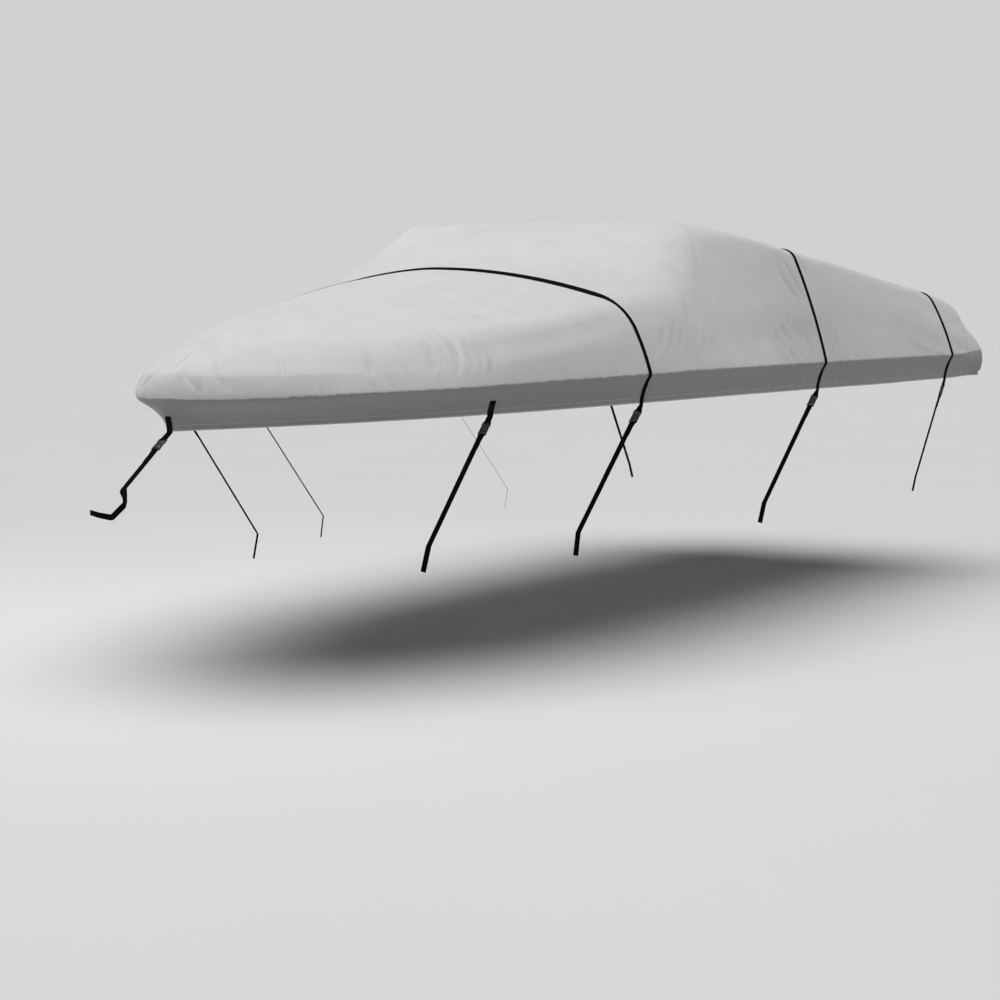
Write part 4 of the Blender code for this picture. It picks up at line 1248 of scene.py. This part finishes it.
def cloth_relief(made, along, down, skirt_shade, stitch):
    """The cloth's relief: its weave, small puckers, long folds that are fewer on the skirt, stitches."""
    weave = made.times(made.wave(along, YARN), made.wave(down, YARN))
    fine = made.bump(weave, strength=0.35, distance=0.0002)
    rough = made.bump(made.noise(scale=26.0, detail=4.0), strength=0.5, distance=0.0012, below=fine)
    puckers = made.bump(made.noise(scale=5.0, detail=5.0), strength=0.5, distance=0.006, below=rough)
    pulled = made.node("CombineXYZ", x=made.times(along, 30.0), y=made.times(down, 3.2)).outputs[0]
    lines = made.noise(scale=1.0, detail=1.5, vector=pulled)
    off_line = made.math("ABSOLUTE", made.math("MULTIPLY_ADD", lines, 2.0, -1.0))
    line = made.ramp(off_line, 0.0, 0.16, 1.0, 0.0)
    some = made.ramp(made.noise(scale=2.3, detail=2.0), 0.50, 0.66, 0.10, 1.0)
    some = made.times(some, made.math("MULTIPLY_ADD", skirt_shade, -0.75, 1.0))
    folds = made.bump(made.times(line, some), strength=0.6, distance=-0.0030, below=puckers)
    return made.bump(stitch, strength=0.8, distance=0.0006, below=folds)


def cloth_material():
    """Coated woven polyester: a fine plain weave, faint marks of folding, wear at the hem, and painted
    shade in its creases and on its skirt.
    """
    made = Nodes("cover cloth")
    along, down = made.uv("cloth")
    mottle = made.noise(scale=9.0, detail=4.0)
    # A mask of painted shade over the skirt, with an uneven upper edge.
    wavy = made.noise(scale=24.0, detail=2.0)
    uneven = made.math("MULTIPLY_ADD", wavy, 0.30, made.attribute("under_rim"))
    skirt_shade = made.ramp(uneven, 0.56, 0.74, 0.0, SKIRT_PAINTED_SHADE)
    from_hem = made.attribute("from_hem")
    off_row = made.math("ABSOLUTE", made.math("SUBTRACT", from_hem, HEM_FOLD))
    dash = made.ramp(made.wave(along, HEM_STITCH), -0.4, 0.1)
    stitch = made.times(dash, made.ramp(off_row, 0.0006, 0.0012, 1.0, 0.0))
    made.set("Base Color", cloth_colour(made, mottle, skirt_shade, from_hem, stitch))
    made.set("Roughness", made.ramp(mottle, 0.3, 0.7, 0.72, 0.84))
    made.set("Sheen Weight", 0.25)
    made.set("Sheen Roughness", 0.5)
    made.set("Specular IOR Level", 0.35)
    made.set("Normal", cloth_relief(made, along, down, skirt_shade, stitch))


def webbing_material():
    """Woven polypropylene webbing: ribs across it, a smooth selvedge, and a paler middle line."""
    made = Nodes("woven webbing")
    along, across = made.uv("web")
    off = made.math("ABSOLUTE", across)
    ribs = made.wave(made.math("MULTIPLY_ADD", off, 0.9, along), RIB_PITCH)
    weave = made.times(ribs, made.wave(across, WARP_PITCH))
    middle = made.ramp(off, 0.0008, 0.0022, 1.0, 0.0)
    selvedge = made.ramp(off, 0.0112, 0.0122)
    fuzz = made.noise(scale=220.0, detail=3.0)
    dust = made.noise(scale=14.0, detail=3.0)
    colour = made.mix(made.ramp(weave, -1.0, 1.0), WEB_DARK, WEB_LIGHT)
    colour = made.mix(made.times(middle, 0.45), colour, WEB_MIDDLE)
    colour = made.mix(made.times(selvedge, 0.30), colour, WEB_WORN)
    colour = made.mix(made.ramp(dust, 0.5, 0.8, 0.0, 0.25), colour, WEB_WORN)
    made.set("Base Color", colour)
    made.set("Roughness", made.ramp(fuzz, 0.3, 0.7, 0.62, 0.82))
    made.set("Specular IOR Level", 0.0)
    woven = made.bump(weave, strength=0.7, distance=0.0004)
    made.set("Normal", made.bump(fuzz, strength=0.3, distance=0.0003, below=woven))


def thread_material():
    """Sewing thread with a twist, slightly paler than what it sews."""
    made = Nodes("thread")
    twist = made.noise(scale=900.0, detail=2.0)
    made.set("Base Color", made.mix(twist, SEWING, SEWING_LIGHT))
    made.set("Roughness", made.ramp(twist, 0.3, 0.7, 0.45, 0.65))
    made.set("Normal", made.bump(twist, strength=0.4, distance=0.0002))


def plastic_material():
    """Moulded acetal: near black, finely textured, scuffed a little."""
    made = Nodes("buckle plastic")
    grain = made.noise(scale=1400.0, detail=2.0)
    scuff = made.noise(scale=160.0, detail=5.0)
    worn = made.ramp(scuff, 0.55, 0.72, 0.0, 0.35)
    made.set("Base Color", made.mix(worn, PLASTIC, PLASTIC_WORN))
    made.set("Roughness", made.ramp(scuff, 0.35, 0.70, 0.34, 0.55))
    made.set("Normal", made.bump(grain, strength=0.25, distance=0.0001))


def floor_material():
    """The pale studio floor, with the faintest unevenness."""
    made = Nodes("floor")
    made.set("Base Color", made.mix(made.noise(scale=0.6, detail=2.0), FLOOR_LOW, FLOOR_HIGH))
    made.set("Roughness", 0.9)
    made.set("Specular IOR Level", 0.1)


def make_lights():
    """One large soft light from above, and a lamp over the bow."""
    sun = bpy.data.lights.new("main_light", "SUN")
    sun.energy = SUN_STRENGTH
    sun.angle = SUN_SIZE
    light = linked("main_light", sun)
    light.rotation_euler = Vector(SUN_FROM).to_track_quat("Z", "Y").to_euler()
    for lamp in LAMPS:
        data = bpy.data.lights.new(lamp.name, "AREA")
        data.shape = "RECTANGLE"
        data.size, data.size_y = lamp.size
        data.energy = lamp.power
        data.color = lamp.colour
        light = linked(lamp.name, data)
        light.location = lamp.place
        way = Vector(lamp.target) - Vector(lamp.place)
        light.rotation_euler = way.to_track_quat("-Z", "Y").to_euler()


def make_camera():
    """The camera of the photo."""
    data = bpy.data.cameras.new("camera")
    data.sensor_width = SENSOR
    data.lens = LENS
    data.clip_end = FAR
    camera = linked("camera", data)
    camera.location = CAMERA
    camera.rotation_euler = LOOK.to_track_quat("-Z", "Y").to_euler()
    bpy.context.scene.camera = camera


def make_stage():
    """The floor, the lights, the sky and the camera."""
    mesh = bmesh.new()
    corners = [(x * STAGE_REACH, y * STAGE_REACH) for x, y in ((-1, -1), (1, -1), (1, 1), (-1, 1))]
    mesh.faces.new([mesh.verts.new((x, y, FLOOR)) for x, y in corners])
    new_object("studio_floor", mesh, "floor")
    make_lights()
    make_sky()
    make_camera()


def set_tones():
    """Plain tones, without a film look."""
    bpy.context.scene.view_settings.view_transform = "Standard"
    bpy.context.scene.view_settings.look = "None"


def make_sky():
    """A sky that is pale near the horizon and dim overhead, so that most light comes from the lamps."""
    world = bpy.data.worlds.new("studio")
    world.use_nodes = True
    tree = world.node_tree
    background = tree.nodes["Background"]
    background.inputs["Color"].default_value = (*SKY, 1)
    place = tree.nodes.new("ShaderNodeTexCoord")
    parts = tree.nodes.new("ShaderNodeSeparateXYZ")
    fade = tree.nodes.new("ShaderNodeMapRange")
    fade.interpolation_type = "SMOOTHSTEP"
    for socket, number in zip(fade.inputs[1:5], (SKY_BAND, 2 * SKY_BAND, SKY_LOW, SKY_HIGH)):
        socket.default_value = number
    tree.links.new(place.outputs["Generated"], parts.inputs[0])
    tree.links.new(parts.outputs[2], fade.inputs[0])
    tree.links.new(fade.outputs[0], background.inputs["Strength"])
    bpy.context.scene.world = world


def main():
    """The cover and the stage."""
    for make in (cloth_material, webbing_material, thread_material, plastic_material, floor_material):
        make()
    grids = all_grids()
    cover = make_cover(grids)
    buckle_data = buckle_mesh()
    make_straps(buckle_data)
    make_side_ties(buckle_data)
    make_bow_strap(buckle_data)
    make_stage()
    set_tones()


main()
